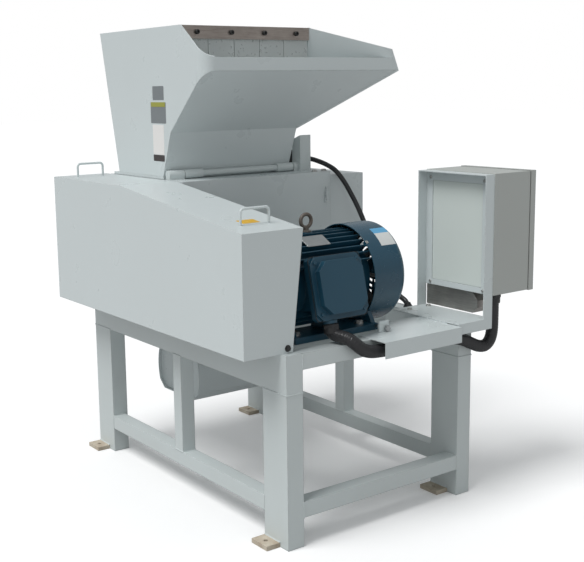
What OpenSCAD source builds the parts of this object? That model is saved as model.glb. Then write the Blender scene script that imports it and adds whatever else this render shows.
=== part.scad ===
// Plastic granulator on a welded tube stand.
// The parts are laid out from the outer bottom corner of the front left leg:
// X to the right, Y to the back, Z up. The whole is then placed so that the
// origin is the middle of the four anchor holes, on the floor.

/* [Stand] */
// Width of the stand over its legs
frame_w = 770; // [740:1:800]
// Depth of the stand over its legs
frame_d = 1220; // [1200:1:1260]
// Height of the table above the floor
table_h = 600; // [590:1:620]
// Width of a leg or a top beam, along X
leg_w = 60; // [50:1:64]
// Depth of a leg and height of a top beam
leg_d = 120; // [100:1:124]
// Side of the light square tube
small_tube = 50; // [40:1:50]
// Wall of the tubes
tube_wall = 4; // [3:0.5:5]
// Height of the lower rails above the floor
low_rail_z = 91; // [60:1:150]
// Distance from the front to the middle posts
middle_post_y = 594; // [560:1:620]
// Thickness of an anchor lug
lug_t = 14; // [8:1:20]

/* [Motor] */
// Distance from the front to the motor shaft
motor_y = 254; // [250:1:260]
// Height of the motor shaft above its feet
motor_shaft_h = 160; // [158:1:162]
// Radius of the motor barrel under its fins
barrel_r = 125; // [115:1:130]
// Radius over the cooling fins
fin_r = 152; // [148:1:155]
// Number of fins in a full circle
fin_count = 40; // [32:4:48]
// Radius of the fan cowl
cowl_r = 165; // [164:1:168]
// Radius of the motor shaft
motor_shaft_r = 21; // [19:0.5:24]
// Tilt of the terminal box
box_tilt = 14; // [10:1:18]

/* [Belt drive] */
// Outer radius of the motor pulley
small_pulley_r = 70; // [65:1:75]
// Outer radius of the rotor pulley
big_pulley_r = 177; // [160:1:180]
// Number of belts
belt_count = 4; // [2:1:4]
// Spacing of the belts
belt_pitch = 19; // [18:0.5:20]

/* [Cutting chamber] */
// Height of the top of the chamber above the floor
chamber_top_z = 1055; // [1050:1:1065]
// Distance from the front of the stand to the chamber's front cover
chamber_front_y = 700; // [690:1:705]
// Thickness of a chamber side plate
side_plate_t = 30; // [25:1:30]
// Distance from the front to the rotor shaft
rotor_y = 945; // [940:1:950]
// Height of the rotor shaft above the floor
rotor_z = 800; // [795:1:805]
// Radius of the circle that the knives cut
knife_circle_r = 160; // [150:1:160]
// Radius of the rotor shaft
rotor_shaft_r = 35; // [30:1:40]
// Number of knife discs on the rotor
disc_count = 5; // [4:1:5]
// Radius of the flywheel
flywheel_r = 188; // [170:1:195]

/* [Hopper] */
// Left face of the hopper
hopper_x0 = 92; // [91:1:96]
// Right face of the hopper's body
hopper_x1 = 640; // [630:1:645]
// Height of the feed lip's lower edge
lip_z = 1425; // [1400:1:1440]
// Distance from the front of the stand to the feed lip
lip_y = 549; // [540:1:560]
// Height of the feed lip
lip_h = 45; // [35:1:55]
// Right end of the feed lip, at its lower edge
lip_x1 = 946; // [900:1:960]
// Height of the top of the hopper
hopper_top_z = 1580; // [1560:1:1600]
// Thickness of the hopper's sheet
sheet_t = 4; // [3:0.5:5]
// Radius of the bend at the lip's left corner
lip_bend_r = 45; // [30:1:60]

/* [Control cabinet] */
// Depth of the cabinet's body, along X
cabinet_depth = 169; // [160:1:180]
// Height of the cabinet
cabinet_h = 400; // [390:1:410]
// Travel of a push button
button_travel = 4; // [3:0.5:4]

/* [Hidden] */
$fn = 48;

// Colours as photographed
paint = [0.74, 0.78, 0.77];
motor_blue = [0.05, 0.17, 0.25];
rubber_black = [0.04, 0.04, 0.045];
steel = [0.55, 0.56, 0.57];
stainless = [0.50, 0.45, 0.42];
bare_wood = [0.72, 0.68, 0.58];
cabinet_grey = [0.60, 0.62, 0.60];

// Clearances
run_gap = 0.05;
free_gap = 1;

// Stand
right_leg_x = frame_w - leg_w;
rear_leg_y = frame_d - leg_d;
beam_z = table_h - leg_d;
rail_z = table_h - small_tube;
motor_rail_ys = [100, 356];
lug_w = 50;
lug_l = 79;
lug_y = 41;
anchor_r = 7;
anchor_y = lug_y + lug_l / 2;
anchor_mid = [(frame_w - leg_w - lug_w) / 2, anchor_y + rear_leg_y / 2, 0];

// Cable cover on the table
cover_t = 3;
cover_x0 = 324;
cover_x1 = 652;
cover_y0 = -70;
cover_skirt_z = 552;
cover_back_y = 128;

// Belt tension screw and its tab
tab_x0 = 398;
tab_x1 = 438;
tab_y0 = 41;
tab_t = 8;
screw_x = 426;
screw_z = table_h + 14;
screw_r = 6;

// Motor, with its drive end at the left
motor_z = table_h + motor_shaft_h;
shield_x0 = 25;
barrel_x0 = 85;
barrel_x1 = 437;
cowl_x0 = 425;
cowl_x1 = 565;
cowl_t = 3;
cowl_edge_r = 28;
foot_x0 = 103;
foot_x1 = 437;
foot_hole_xs = [133, 387];
foot_hole_dy = 127;
foot_half_w = 165;
foot_t = 20;
stator_r = 110;
core_r = 70;
air_gap = 0.8;

// Belts run between x = pulley_x0 and x = pulley_x1
pulley_x0 = -100;
pulley_w = belt_count * belt_pitch + 6;
pulley_x1 = pulley_x0 + pulley_w;
groove_w = 15;
groove_depth = 14;
belt_w = 13;
belt_t = 11;
belt_sink = 1;

// Belt guard
guard_x0 = -130;
guard_x1 = 87;
guard_foot_x1 = 45;
guard_y0 = 27;
guard_y1 = 1250;
guard_low_z = 966;
guard_knee_y = 729;
guard_t = 3;
handle_r = 4;
handle_w = 110;
handle_h = 52;
handle_x = -77;
handle_ys = [115, 1165];

// Chamber
chamber_x0 = hopper_x0;
chamber_x1 = 642;
cover_seam_x = 743;
top_t = 12;
top_under_z = chamber_top_z - top_t;
wall_y0 = 720;
wall_y1 = 1210;
wall_t = 40;
opening_y0 = 832;
opening_y1 = 1144;
inner_x0 = chamber_x0 + side_plate_t;
inner_x1 = chamber_x1 - side_plate_t;
foot_plate_t = 15;
fly_cover_x1 = 905;
fly_cover_top = 1040;
fly_x0 = 780;
fly_w = 60;
housing_r = 85;
housing_t = 45;

// Rotor
shaft_x0 = -105;
shaft_x1 = 855;
disc_w = 56;
disc_pitch = 96;
disc_x0 = inner_x0 + 25;
hub_r = 78;
seat_r = 138;
knife_t = 12;
knife_len = 52;
knives_per_disc = 3;
screen_r = knife_circle_r + 4;
screen_t = 5;

// Collecting drawer, barrel shaped in side view
drawer_x0 = 180;
drawer_x1 = 590;
drawer_y = 922;
drawer_z = 325;
drawer_bulge_r = 190;
drawer_squeeze = 43;
drawer_low = 236;
drawer_high = 440;
drawer_t = 3;
drawer_inset = 18;
funnel_z = 470;

// Hopper outline in side view, as [y, z]
base_z = 1065;
flange_z = chamber_top_z + 0.3;
front_foot = [826, base_z];
front_fold = [769, 1220];
hood_front = [685, hopper_top_z];
hood_rear = [1266, hopper_top_z];
rear_foot = [1150, base_z];
wing_front_z = 1510;
clamp_h = 45;
clamp_t = 8;
curtain_t = 4;
curtain_strips = 5;

// Hopper hinge
hinge_y = 803.5;
hinge_z = 1072;
hinge_r = 11;
sleeve_r = 16;
post_x0 = 663;
post_y0 = 778;
post_top = 1190;
knob_xs = [150, 580];
knob_y = 1182;

// Control cabinet
bracket_x0 = 771;
cabinet_x0 = 811;
cabinet_x1 = cabinet_x0 + cabinet_depth;
cabinet_y0 = -55;
cabinet_y1 = 256;
cabinet_z0 = 682;
cabinet_z1 = cabinet_z0 + cabinet_h;
bracket_y0 = -52;
bracket_t = 4;
door_x0 = cabinet_x1 + 2;
door_t = 23;
door_x1 = door_x0 + door_t;
door_axis = [door_x1 - 1, cabinet_y1 + 8];
start_at = [150, 935];
stop_at = [100, 935];
emergency_at = [35, 935];
switch_at = [100, 1020];
lock_at = [-30, 860];

// Route of the motor's conduit, from the terminal box to the cabinet
conduit_r = 20;
conduit_route = [
    [205, 51.8, 660], [205, 47, 641], [208, 36, 629], [216, 12, 624], [228, -12, 618], [245, -27, 601],
    [268, -31, 583], [300, -29, 572], [345, -26, 567], [430, -26, 564], [530, -26, 561], [610, -26, 560],
    [665, -26, 556], [705, -26, 545], [740, -26, 529], [772, -27, 515], [803, -28, 511], [826, -29, 526],
    [836, -30, 556], [838, -30, 600], [838, -30, 645], [838, -30, 683],
];

// Route of the limit switch's cable, down behind the motor
cable_r = 10;
cable_route = [
    [704, 845, 1098], [722, 842, 1099], [738, 812, 1096], [748, 775, 1088], [756, 735, 1076], [766, 695, 1056],
    [778, 664, 1020], [792, 640, 976], [806, 612, 920], [812, 580, 860], [806, 540, 795], [792, 490, 735],
    [772, 430, 688], [754, 370, 655], [744, 318, 634], [742, 284, 620], [742, 271, 599.6],
];

// A solid box between two opposite corners
module block(lo, hi) {
    translate(lo) cube(hi - lo);
}

// A round bar along X
module bar_x(r, x0, x1, y, z) {
    translate([x0, y, z]) rotate([0, 90, 0]) cylinder(r = r, h = x1 - x0);
}

// A round bar along Y
module bar_y(r, y0, y1, x, z) {
    translate([x, y1, z]) rotate([90, 0, 0]) cylinder(r = r, h = y1 - y0);
}

// A round bar along Z
module bar_z(r, z0, z1, x, y) {
    translate([x, y, z0]) cylinder(r = r, h = z1 - z0);
}

// A side view outline, in Y and Z, made solid between two values of X
module along_x(x0, x1) {
    translate([x0, 0, 0]) rotate([90, 0, 90]) linear_extrude(x1 - x0) children();
}

// A front view outline, in X and Z, made solid between two values of Y
module along_y(y0, y1) {
    translate([0, y1, 0]) rotate([90, 0, 0]) linear_extrude(y1 - y0) children();
}

// A plan outline, in X and Y, made solid between two values of Z
module along_z(z0, z1) {
    translate([0, 0, z0]) linear_extrude(z1 - z0) children();
}

// A square or rectangular tube, open at both ends of the given axis
module tube(lo, hi, axis, t = tube_wall) {
    grow = [for (i = [0:2]) i == axis ? -1 : t];
    difference() {
        block(lo, hi);
        block(lo + grow, hi - grow);
    }
}

// Everything is moved so that the origin is the middle of the anchor holes
module placed() {
    translate(-anchor_mid) children();
}

// Points of a smooth curve through a route
function bend(a, b, c, d, t) =
    0.5 * ((2 * b) + (c - a) * t + (2 * a - 5 * b + 4 * c - d) * t * t + (3 * b - a - 3 * c + d) * t * t * t);
function smooth(route, steps) = [
    for (i = [0:len(route) - 2])
        for (k = [0:steps - 1])
            bend(route[max(i - 1, 0)], route[i], route[i + 1], route[min(i + 2, len(route) - 1)], k / steps),
    route[len(route) - 1],
];
function unit(v) = v / norm(v);
function tangents(path) = [
    for (i = [0:len(path) - 1]) unit(path[min(i + 1, len(path) - 1)] - path[max(i - 1, 0)]),
];
function square_off(v, t) = unit(v - (v * t) * t);
function normals(ts, first) = [
    for (i = 0, n = square_off(first, ts[0]); i < len(ts); i = i + 1,
        n = i < len(ts) ? square_off(n, ts[i]) : n) n,
];

// A round tube swept along a route, as one closed skin
module swept(route, r, sides, steps, first) {
    path = smooth(route, steps);
    ts = tangents(path);
    ns = normals(ts, first);
    rings = len(path);
    points = [
        for (i = [0:rings - 1])
            for (k = [0:sides - 1])
                path[i] + r * (cos(360 * k / sides) * ns[i] + sin(360 * k / sides) * cross(ts[i], ns[i])),
    ];
    skin = [
        for (i = [0:rings - 2])
            for (k = [0:sides - 1])
                [i * sides + k, (i + 1) * sides + k, (i + 1) * sides + (k + 1) % sides],
        for (i = [0:rings - 2])
            for (k = [0:sides - 1])
                [i * sides + k, (i + 1) * sides + (k + 1) % sides, i * sides + (k + 1) % sides],
    ];
    start_cap = [[for (k = [0:sides - 1]) k]];
    end_cap = [[for (k = [sides - 1:-1:0]) (rings - 1) * sides + k]];
    polyhedron(points, concat(skin, start_cap, end_cap));
}

// Stand: four legs and the two middle posts
module frame_uprights() {
    color(paint) placed() {
        for (x = [0, right_leg_x])
            for (y = [0, rear_leg_y])
                tube([x, y, 0], [x + leg_w, y + leg_d, beam_z], 2);
        for (x = [0, frame_w - small_tube])
            tube([x, middle_post_y, low_rail_z + small_tube], [x + small_tube, middle_post_y + small_tube, beam_z], 2);
    }
}

// Lugs at the foot of each leg, with the hole for the floor anchor
module anchor_lugs() {
    color(bare_wood) placed() for (x = [-lug_w, right_leg_x - lug_w])
        for (y = [lug_y, rear_leg_y + lug_y])
            difference() {
                block([x, y, 0], [x + lug_w, y + lug_l, lug_t]);
                bar_z(anchor_r, -1, lug_t + 1, x + lug_w / 2, y + lug_l / 2);
            }
}

// Top beams along both sides, closed at the ends and open over the rear legs
module top_beams() {
    t = tube_wall;
    color(paint) placed() for (x = [0, right_leg_x])
        difference() {
            block([x, 0, beam_z], [x + leg_w, frame_d, table_h]);
            block([x + t, t, beam_z + t], [x + leg_w - t, frame_d - t, table_h - t]);
            block([x + t, rear_leg_y + t, beam_z - 1], [x + leg_w - t, frame_d - t, beam_z + t + 1]);
        }
}

// Light rails: lower rails on three sides, and the cross beams under the table
module frame_rails() {
    low_top = low_rail_z + small_tube;
    color(paint) placed() {
        for (x = [0, frame_w - small_tube])
            tube([x, leg_d, low_rail_z], [x + small_tube, rear_leg_y, low_top], 1);
        tube([leg_w, 0, low_rail_z], [right_leg_x, small_tube, low_top], 0);
        for (y = concat([0, frame_d - small_tube], motor_rail_ys))
            tube([leg_w, y, rail_z], [right_leg_x, y + small_tube, table_h], 0);
    }
}

// Folded cover that the conduit runs under, lying on the table
module cable_cover() {
    color(paint) placed() {
        along_z(table_h, table_h + cover_t)
            polygon([
                [cover_x0, cover_y0], [cover_x1, cover_y0], [cover_x1, 0], [frame_w, 0], [frame_w, cabinet_y1],
                [right_leg_x, cabinet_y1], [right_leg_x, cover_back_y], [440, cover_back_y], [440, 55],
                [cover_x0, 55],
            ]);
        block([cover_x0, cover_y0, cover_skirt_z], [cover_x1, cover_y0 + cover_t, table_h]);
    }
}

// Upright tab that the belt tension screw turns in
module tension_tab() {
    base = table_h + cover_t;
    color(paint) placed() difference() {
        block([tab_x0, tab_y0, base], [tab_x1, tab_y0 + tab_t, base + 35]);
        bar_y(screw_r + run_gap, tab_y0 - 1, tab_y0 + tab_t + 1, screw_x, screw_z);
    }
}

// Screw that pushes the motor back to tighten the belts
module tension_screw() {
    head_y = tab_y0 - 11;
    color(steel) placed() union() {
        bar_y(screw_r, head_y, motor_y - foot_half_w - 2, screw_x, screw_z);
        translate([screw_x, tab_y0 - 3, screw_z]) rotate([90, 0, 0]) cylinder(r = 10, h = 8, $fn = 6);
    }
}

// Motor barrel with fins, feet and webs in one casting
module motor_housing() {
    rear_wall = 12;
    color(motor_blue) placed() difference() {
        union() {
            translate([barrel_x0, motor_y, motor_z]) rotate([90, 0, 90]) linear_extrude(barrel_x1 - barrel_x0)
                union() {
                    circle(r = barrel_r);
                    for (i = [0:fin_count - 1])
                        if (fin_allowed(i * 360 / fin_count))
                            rotate(i * 360 / fin_count) translate([barrel_r - 3, -1.6]) square([fin_r - barrel_r + 3, 3.2]);
                }
            for (side = [-1, 1])
                motor_foot(side);
            bar_z(20, motor_z + 100, motor_z + fin_r, 276, motor_y);
            translate([0, motor_y, motor_z]) rotate([-box_tilt, 0, 0])
                block([175, -164, -100], [325, -80, 30]);
        }
        bar_x(stator_r, barrel_x0 - 1, barrel_x1 - rear_wall, motor_y, motor_z);
        bar_x(motor_shaft_r + run_gap, barrel_x1 - rear_wall - 1, barrel_x1 + 1, motor_y, motor_z);
        for (x = foot_hole_xs)
            for (side = [-1, 1])
                bar_z(7.5, table_h - 1, table_h + foot_t + 1, x, motor_y + side * foot_hole_dy);
    }
}

// Fins are left out over the terminal box and between the feet
function fin_allowed(a) = !(a > 157 && a < 208) && !(a > 236 && a < 304);

// One foot with its webs, cut back around the fan cowl
module motor_foot(side) {
    outer = motor_y + side * foot_half_w;
    inner = motor_y + side * 54;
    difference() {
        union() {
            block([foot_x0, min(outer, inner), table_h], [foot_x1, max(outer, inner), table_h + foot_t]);
            for (x = [foot_x0, 250, foot_x1 - 16])
                along_x(x, x + 16)
                    polygon([
                        [motor_y + side * 150, table_h + foot_t], [inner, table_h + foot_t],
                        [inner, motor_z - 100], [motor_y + side * 105, motor_z - 62],
                    ]);
        }
        bar_x(cowl_r + 2, cowl_x0 - 1, foot_x1 + 1, motor_y, motor_z);
    }
}

// Drive end shield, a turned casting
module motor_end_shield() {
    color(motor_blue) placed() translate([shield_x0, motor_y, motor_z]) rotate([0, 90, 0])
        rotate_extrude()
            polygon([
                [motor_shaft_r + run_gap, 0], [58, 0], [66, 8], [66, 22], [120, 38], [142, 42], [142, 60],
                [100, 60], [100, 50], [motor_shaft_r + run_gap, 50],
            ]);
}

// Fan cowl with its rounded edge and ring slots, on four lugs
module fan_cowl() {
    len = cowl_x1 - cowl_x0;
    inner_r = cowl_r - cowl_t;
    color(motor_blue) placed() translate([cowl_x0, motor_y, motor_z]) rotate([0, 90, 0]) {
        difference() {
            rotate_extrude() union() {
                difference() {
                    square([cowl_r - cowl_edge_r, len]);
                    translate([-1, -1]) square([cowl_r - cowl_edge_r + 1.01, len - cowl_t + 1]);
                }
                translate([inner_r, 0]) square([cowl_t, len - cowl_edge_r]);
                translate([cowl_r - cowl_edge_r, len - cowl_edge_r]) intersection() {
                    difference() {
                        circle(r = cowl_edge_r);
                        circle(r = cowl_edge_r - cowl_t);
                    }
                    square(cowl_edge_r + 1);
                }
            }
            for (ring = [0:4])
                for (i = [0:5])
                    rotate([0, 0, i * 60 + 6]) translate([0, 0, len - cowl_t - 1])
                        rotate_extrude(angle = 48) translate([36 + ring * 19, 0]) square([9, cowl_t + 2]);
        }
        for (i = [0:3])
            rotate([0, 0, 45 + i * 90]) translate([fin_r, -8, 0]) cube([inner_r - fin_r + 1, 16, 10]);
    }
}

// Outline with cut corners, in X and Z
module cut_corners(x0, x1, z0, z1, c) {
    polygon([
        [x0 + c, z0], [x1 - c, z0], [x1, z0 + c], [x1, z1 - c], [x1 - c, z1], [x0 + c, z1], [x0, z1 - c], [x0, z0 + c],
    ]);
}

// Terminal box on the motor's front side, tilted a little upwards
module terminal_box() {
    color(motor_blue) placed() translate([0, motor_y, motor_z]) rotate([-box_tilt, 0, 0])
        difference() {
            union() {
                along_y(-186, -164) cut_corners(148, 350, -137, 58, 10);
                translate([205, -175, -147]) cylinder(r = 22, h = 10.5);
            }
            along_y(-187, -172) cut_corners(168, 330, -117, 38, 10);
            block([180, -199, -137.4], [230, -186, -130]);
        }
}

// Cast lid of the terminal box, its corners cut
module terminal_lid() {
    color(motor_blue) placed() translate([0, motor_y, motor_z]) rotate([-box_tilt, 0, 0])
        union() {
            along_y(-194, -186) cut_corners(148, 350, -137, 58, 22);
            along_y(-216, -194) cut_corners(164, 334, -121, 42, 30);
        }
}

// Lifting eye on top of the motor
module lifting_eye() {
    eye_z = motor_z + fin_r + 36;
    color(steel) placed() union() {
        translate([276, motor_y, eye_z]) rotate([90, 0, 0])
            rotate_extrude() translate([21, 0]) circle(r = 6);
        bar_z(9, motor_z + fin_r, eye_z - 16, 276, motor_y);
        bar_z(16, motor_z + fin_r, motor_z + fin_r + 5, 276, motor_y);
    }
}

// Stator pack inside the barrel
module motor_stator() {
    color(steel) placed() difference() {
        bar_x(stator_r, barrel_x0 + 45, barrel_x1 - 50, motor_y, motor_z);
        bar_x(core_r + air_gap, barrel_x0, barrel_x1, motor_y, motor_z);
    }
}

// Motor shaft with its rotor core
module motor_shaft() {
    color(steel) placed() union() {
        bar_x(motor_shaft_r, pulley_x0 - 5, cowl_x0 + 78, motor_y, motor_z);
        bar_x(core_r, barrel_x0 + 45, barrel_x1 - 50, motor_y, motor_z);
    }
}

// Half section of a grooved pulley, turned about the second axis
module pulley_section(bore, outer, hub, rim) {
    difference() {
        union() {
            translate([bore, 0]) square([hub - bore, pulley_w]);
            translate([hub - 1, pulley_w / 2 - 9]) square([outer - rim - hub + 2, 18]);
            translate([outer - rim, 0]) square([rim, pulley_w]);
        }
        for (i = [0:belt_count - 1])
            translate([outer - groove_depth, groove_x(i) - groove_w / 2])
                polygon([[0, 2], [groove_depth + 1, 0], [groove_depth + 1, groove_w], [0, groove_w - 2]]);
    }
}
function groove_x(i) = (i + 0.5) * belt_pitch + 3;

// Pulley on the motor shaft
module motor_pulley() {
    color(steel) placed() translate([pulley_x0, motor_y, motor_z]) rotate([0, 90, 0])
        rotate_extrude() pulley_section(motor_shaft_r, small_pulley_r, 40, 30);
}

// Fan on the rear end of the motor shaft
module cooling_fan() {
    fan_x0 = 452;
    color(rubber_black) placed() translate([fan_x0, motor_y, motor_z]) rotate([0, 90, 0])
        difference() {
            union() {
                cylinder(r = 38, h = 46);
                cylinder(r = 100, h = 4);
                for (i = [0:7])
                    rotate([0, 0, i * 45]) translate([30, -2, 0]) cube([100, 4, 44]);
            }
            translate([0, 0, -1]) cylinder(r = motor_shaft_r, h = 60);
        }
}

// Conduit from the terminal box, under the cover, to the cabinet
module motor_conduit() {
    color(rubber_black) placed() swept(conduit_route, conduit_r, 12, 3, [1, 0, 0]);
}

// Ends of the outer tangents of two circles: belt centre line geometry
belt_c1 = [rotor_y, rotor_z];
belt_c2 = [motor_y, motor_z];
belt_axis = unit(belt_c1 - belt_c2);
belt_cross = [-belt_axis[1], belt_axis[0]];
function tangent_normal(side, r1, r2) =
    let(k = (r1 - r2) / norm(belt_c1 - belt_c2)) -k * belt_axis + side * sqrt(1 - k * k) * belt_cross;

// Area inside a belt that runs over both pulleys
module belt_area(r1, r2) {
    up = tangent_normal(1, r1, r2);
    down = tangent_normal(-1, r1, r2);
    translate(belt_c1) circle(r = r1);
    translate(belt_c2) circle(r = r2);
    polygon([belt_c1 + r1 * up, belt_c2 + r2 * up, belt_c2 + r2 * down, belt_c1 + r1 * down]);
}

// The set of belts
module drive_belts() {
    outer_1 = big_pulley_r - belt_sink;
    outer_2 = small_pulley_r - belt_sink;
    color(rubber_black) placed() for (i = [0:belt_count - 1])
        along_x(pulley_x0 + groove_x(i) - belt_w / 2 + 2, pulley_x0 + groove_x(i) + belt_w / 2 - 2)
            difference() {
                belt_area(outer_1, outer_2);
                belt_area(outer_1 - belt_t, outer_2 - belt_t);
            }
}

// Height of the guard's top at a distance from the front
function guard_top(y) =
    y > guard_knee_y ? chamber_top_z
    : guard_low_z + (chamber_top_z - guard_low_z) * (y - guard_y0) / (guard_knee_y - guard_y0);

// Belt guard: one folded cover, open below and towards the chamber
module belt_guard() {
    t = guard_t;
    color(paint) placed() union() {
        along_x(guard_x0, guard_x0 + t)
            polygon([
                [guard_y0, table_h], [guard_y1, table_h], [guard_y1, chamber_top_z],
                [guard_knee_y, chamber_top_z], [guard_y0, guard_low_z],
            ]);
        along_x(guard_x0, guard_x1)
            polygon([
                [guard_y0, guard_low_z], [guard_knee_y, chamber_top_z], [guard_y1, chamber_top_z],
                [guard_y1, chamber_top_z - t], [guard_knee_y, chamber_top_z - t], [guard_y0, guard_low_z - t],
            ]);
        along_y(guard_y0, guard_y0 + t)
            polygon([
                [guard_x0, table_h], [guard_foot_x1, table_h], [guard_x1, guard_low_z], [guard_x0, guard_low_z],
            ]);
        along_y(guard_y1 - t, guard_y1)
            polygon([
                [guard_x0, table_h], [guard_foot_x1, table_h], [guard_x1, chamber_top_z], [guard_x0, chamber_top_z],
            ]);
        block([guard_x0, guard_y0, table_h], [guard_x0 + 22, guard_y1, table_h + t]);
        block([guard_x0, guard_y0, table_h], [guard_foot_x1, guard_y0 + 30, table_h + t]);
        block([guard_x0, guard_y1 - 60, table_h], [guard_foot_x1, guard_y1, table_h + t]);
    }
}

// One bent round bar handle, standing on the guard
module bar_handle(y) {
    bend_r = 12;
    foot_z = guard_top(y);
    top_z = foot_z + handle_h - handle_r;
    x0 = handle_x + handle_r;
    x1 = handle_x + handle_w - handle_r;
    for (x = [x0, x1])
        bar_z(handle_r, foot_z - 0.4, top_z - bend_r, x, y);
    bar_x(handle_r, x0 + bend_r, x1 - bend_r, y, top_z);
    translate([x0 + bend_r, y, top_z - bend_r]) rotate([90, 0, 0]) rotate([0, 0, 90])
        rotate_extrude(angle = 90) translate([bend_r, 0]) circle(r = handle_r);
    translate([x1 - bend_r, y, top_z - bend_r]) rotate([90, 0, 0])
        rotate_extrude(angle = 90) translate([bend_r, 0]) circle(r = handle_r);
}

// The two lifting handles of the guard
module guard_handles() {
    color(paint) placed() for (y = handle_ys)
        bar_handle(y);
}

// A chamber side plate with its foot on the beam; dir is -1 for the left one
module side_plate(x0, foot_x0, foot_x1) {
    difference() {
        union() {
            block([x0, chamber_front_y, table_h], [x0 + side_plate_t, frame_d - 3, top_under_z]);
            block([foot_x0, 770, table_h], [foot_x1, 1160, table_h + foot_plate_t]);
            for (y = [790, 1130])
                along_y(y, y + 10)
                    polygon([
                        [min(foot_x0, x0 + side_plate_t) , table_h + foot_plate_t],
                        [max(foot_x1, x0), table_h + foot_plate_t],
                        [foot_x0 < x0 ? x0 : x0 + side_plate_t, table_h + 90],
                    ]);
        }
        bar_x(rotor_shaft_r + 5, x0 - 1, x0 + side_plate_t + 1, rotor_y, rotor_z);
    }
}

module chamber_left_plate() {
    color(paint) placed() side_plate(chamber_x0, 0, chamber_x0);
}

module chamber_right_plate() {
    color(paint) placed() side_plate(inner_x1, chamber_x1, frame_w);
}

// Front wall of the chamber, with the seat for the front fixed knife
module chamber_front_wall() {
    color(paint) placed() along_x(inner_x0, inner_x1)
        polygon([
            [wall_y0, table_h], [wall_y0 + wall_t, table_h], [wall_y0 + wall_t, 730], [wall_y0 + wall_t + 22, 752],
            [wall_y0 + wall_t + 22, rotor_z - 14], [wall_y0 + wall_t, rotor_z - 14], [wall_y0 + wall_t, top_under_z],
            [wall_y0, top_under_z],
        ]);
}

// Rear wall of the chamber, with the seat for the rear fixed knife
module chamber_rear_wall() {
    inner = wall_y1 - wall_t;
    color(paint) placed() along_x(inner_x0, inner_x1)
        polygon([
            [wall_y1, table_h], [inner, table_h], [inner, 700], [1109, 745], [1109, rotor_z - 14],
            [inner, rotor_z - 14], [inner, rotor_z + 40], [opening_y1, top_under_z], [wall_y1, top_under_z],
        ]);
}

// Top frame of the chamber, with the opening under the hopper
module chamber_top() {
    color(paint) placed() difference() {
        block([chamber_x0, chamber_front_y, top_under_z], [cover_seam_x, frame_d - 3, chamber_top_z]);
        block([inner_x0, opening_y0, top_under_z - 1], [inner_x1, opening_y1, chamber_top_z + 1]);
    }
}

// Sheet covers over the front and the rear of the chamber
module chamber_covers() {
    color(paint) placed() for (y = [chamber_front_y - 3, frame_d - 3])
        block([chamber_x0, y, table_h], [cover_seam_x, y + 3, chamber_top_z]);
}

// Box over the flywheel and the right bearing, open below and inside
module flywheel_cover() {
    t = 3;
    y0 = chamber_front_y - t;
    color(paint) placed() difference() {
        block([cover_seam_x, y0, table_h], [fly_cover_x1, frame_d, fly_cover_top]);
        block([cover_seam_x - 1, y0 + t, table_h - 1], [fly_cover_x1 - t, frame_d - t, fly_cover_top - t]);
    }
}

// Flanged bearing housings outside the two side plates
module bearing_housings() {
    color(motor_blue) placed() {
        translate([chamber_x0, rotor_y, rotor_z]) rotate([0, -90, 0]) bearing_housing();
        translate([chamber_x1, rotor_y, rotor_z]) rotate([0, 90, 0]) bearing_housing();
    }
}

module bearing_housing() {
    difference() {
        union() {
            intersection() {
                cylinder(r = housing_r + 22, h = 18);
                translate([-housing_r, -housing_r, 0]) cube([2 * housing_r, 2 * housing_r, 18]);
            }
            cylinder(r = housing_r - 15, h = housing_t);
        }
        translate([0, 0, -1]) cylinder(r = rotor_shaft_r + run_gap, h = housing_t + 2);
        for (i = [0:3])
            rotate([0, 0, 45 + i * 90]) translate([housing_r + 4, 0, -1]) cylinder(r = 7, h = 20);
    }
}

// Fixed knives, one on each wall, level with the rotor shaft
module fixed_knives() {
    z0 = rotor_z - 14;
    front = wall_y0 + wall_t;
    tip = 1.5;
    color(steel) placed() {
        along_x(inner_x0 + 1, inner_x1 - 1)
            polygon([[front, z0], [rotor_y - knife_circle_r - tip, z0], [rotor_y - knife_circle_r - tip, z0 + 14],
                [front, z0 + 20]]);
        along_x(inner_x0 + 1, inner_x1 - 1)
            polygon([[wall_y1 - wall_t, z0], [rotor_y + knife_circle_r + tip, z0],
                [rotor_y + knife_circle_r + tip, z0 + 14], [wall_y1 - wall_t, z0 + 20]]);
    }
}

// A ring sector around the rotor, between two angles below the shaft
module lower_arc(r0, r1, a0, a1) {
    far = 2 * r1;
    intersection() {
        difference() {
            circle(r = r1);
            circle(r = r0);
        }
        polygon([[0, 0], far * [cos(a0), sin(a0)], far * [0, -1], far * [cos(a1), sin(a1)]]);
    }
}

// Curved screen under the rotor, with rows of slots
module screen() {
    rows = 9;
    columns = 9;
    slot = [26, 15];
    pitch = (inner_x1 - inner_x0 - 12) / columns;
    color(steel) placed() translate([inner_x0 + 4, rotor_y, rotor_z]) difference() {
        rotate([90, 0, 90]) linear_extrude(inner_x1 - inner_x0 - 8)
            lower_arc(screen_r, screen_r + screen_t, 202, 338);
        for (row = [0:rows - 1])
            for (i = [0:columns - 1])
                rotate([-90 + 13 * (row - (rows - 1) / 2) + 90, 0, 0])
                    translate([pitch * (i + 0.5) - slot[0] / 2 + 2, -slot[1] / 2, -screen_r - screen_t - 4])
                        cube([slot[0], slot[1], screen_t + 8]);
    }
}

// Cradle that carries the screen: three ribs and two bars
module screen_cradle() {
    outer = screen_r + screen_t + 18;
    color(paint) placed() {
        for (x = [inner_x0 + 12, (inner_x0 + inner_x1) / 2 - 6, inner_x1 - 24])
            translate([x, rotor_y, rotor_z]) rotate([90, 0, 90]) linear_extrude(12)
                lower_arc(screen_r + screen_t, outer, 212, 328);
        for (y = [rotor_y - 183, rotor_y + 155])
            block([inner_x0, y, 690], [inner_x1, y + 28, 704]);
    }
}

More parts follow.
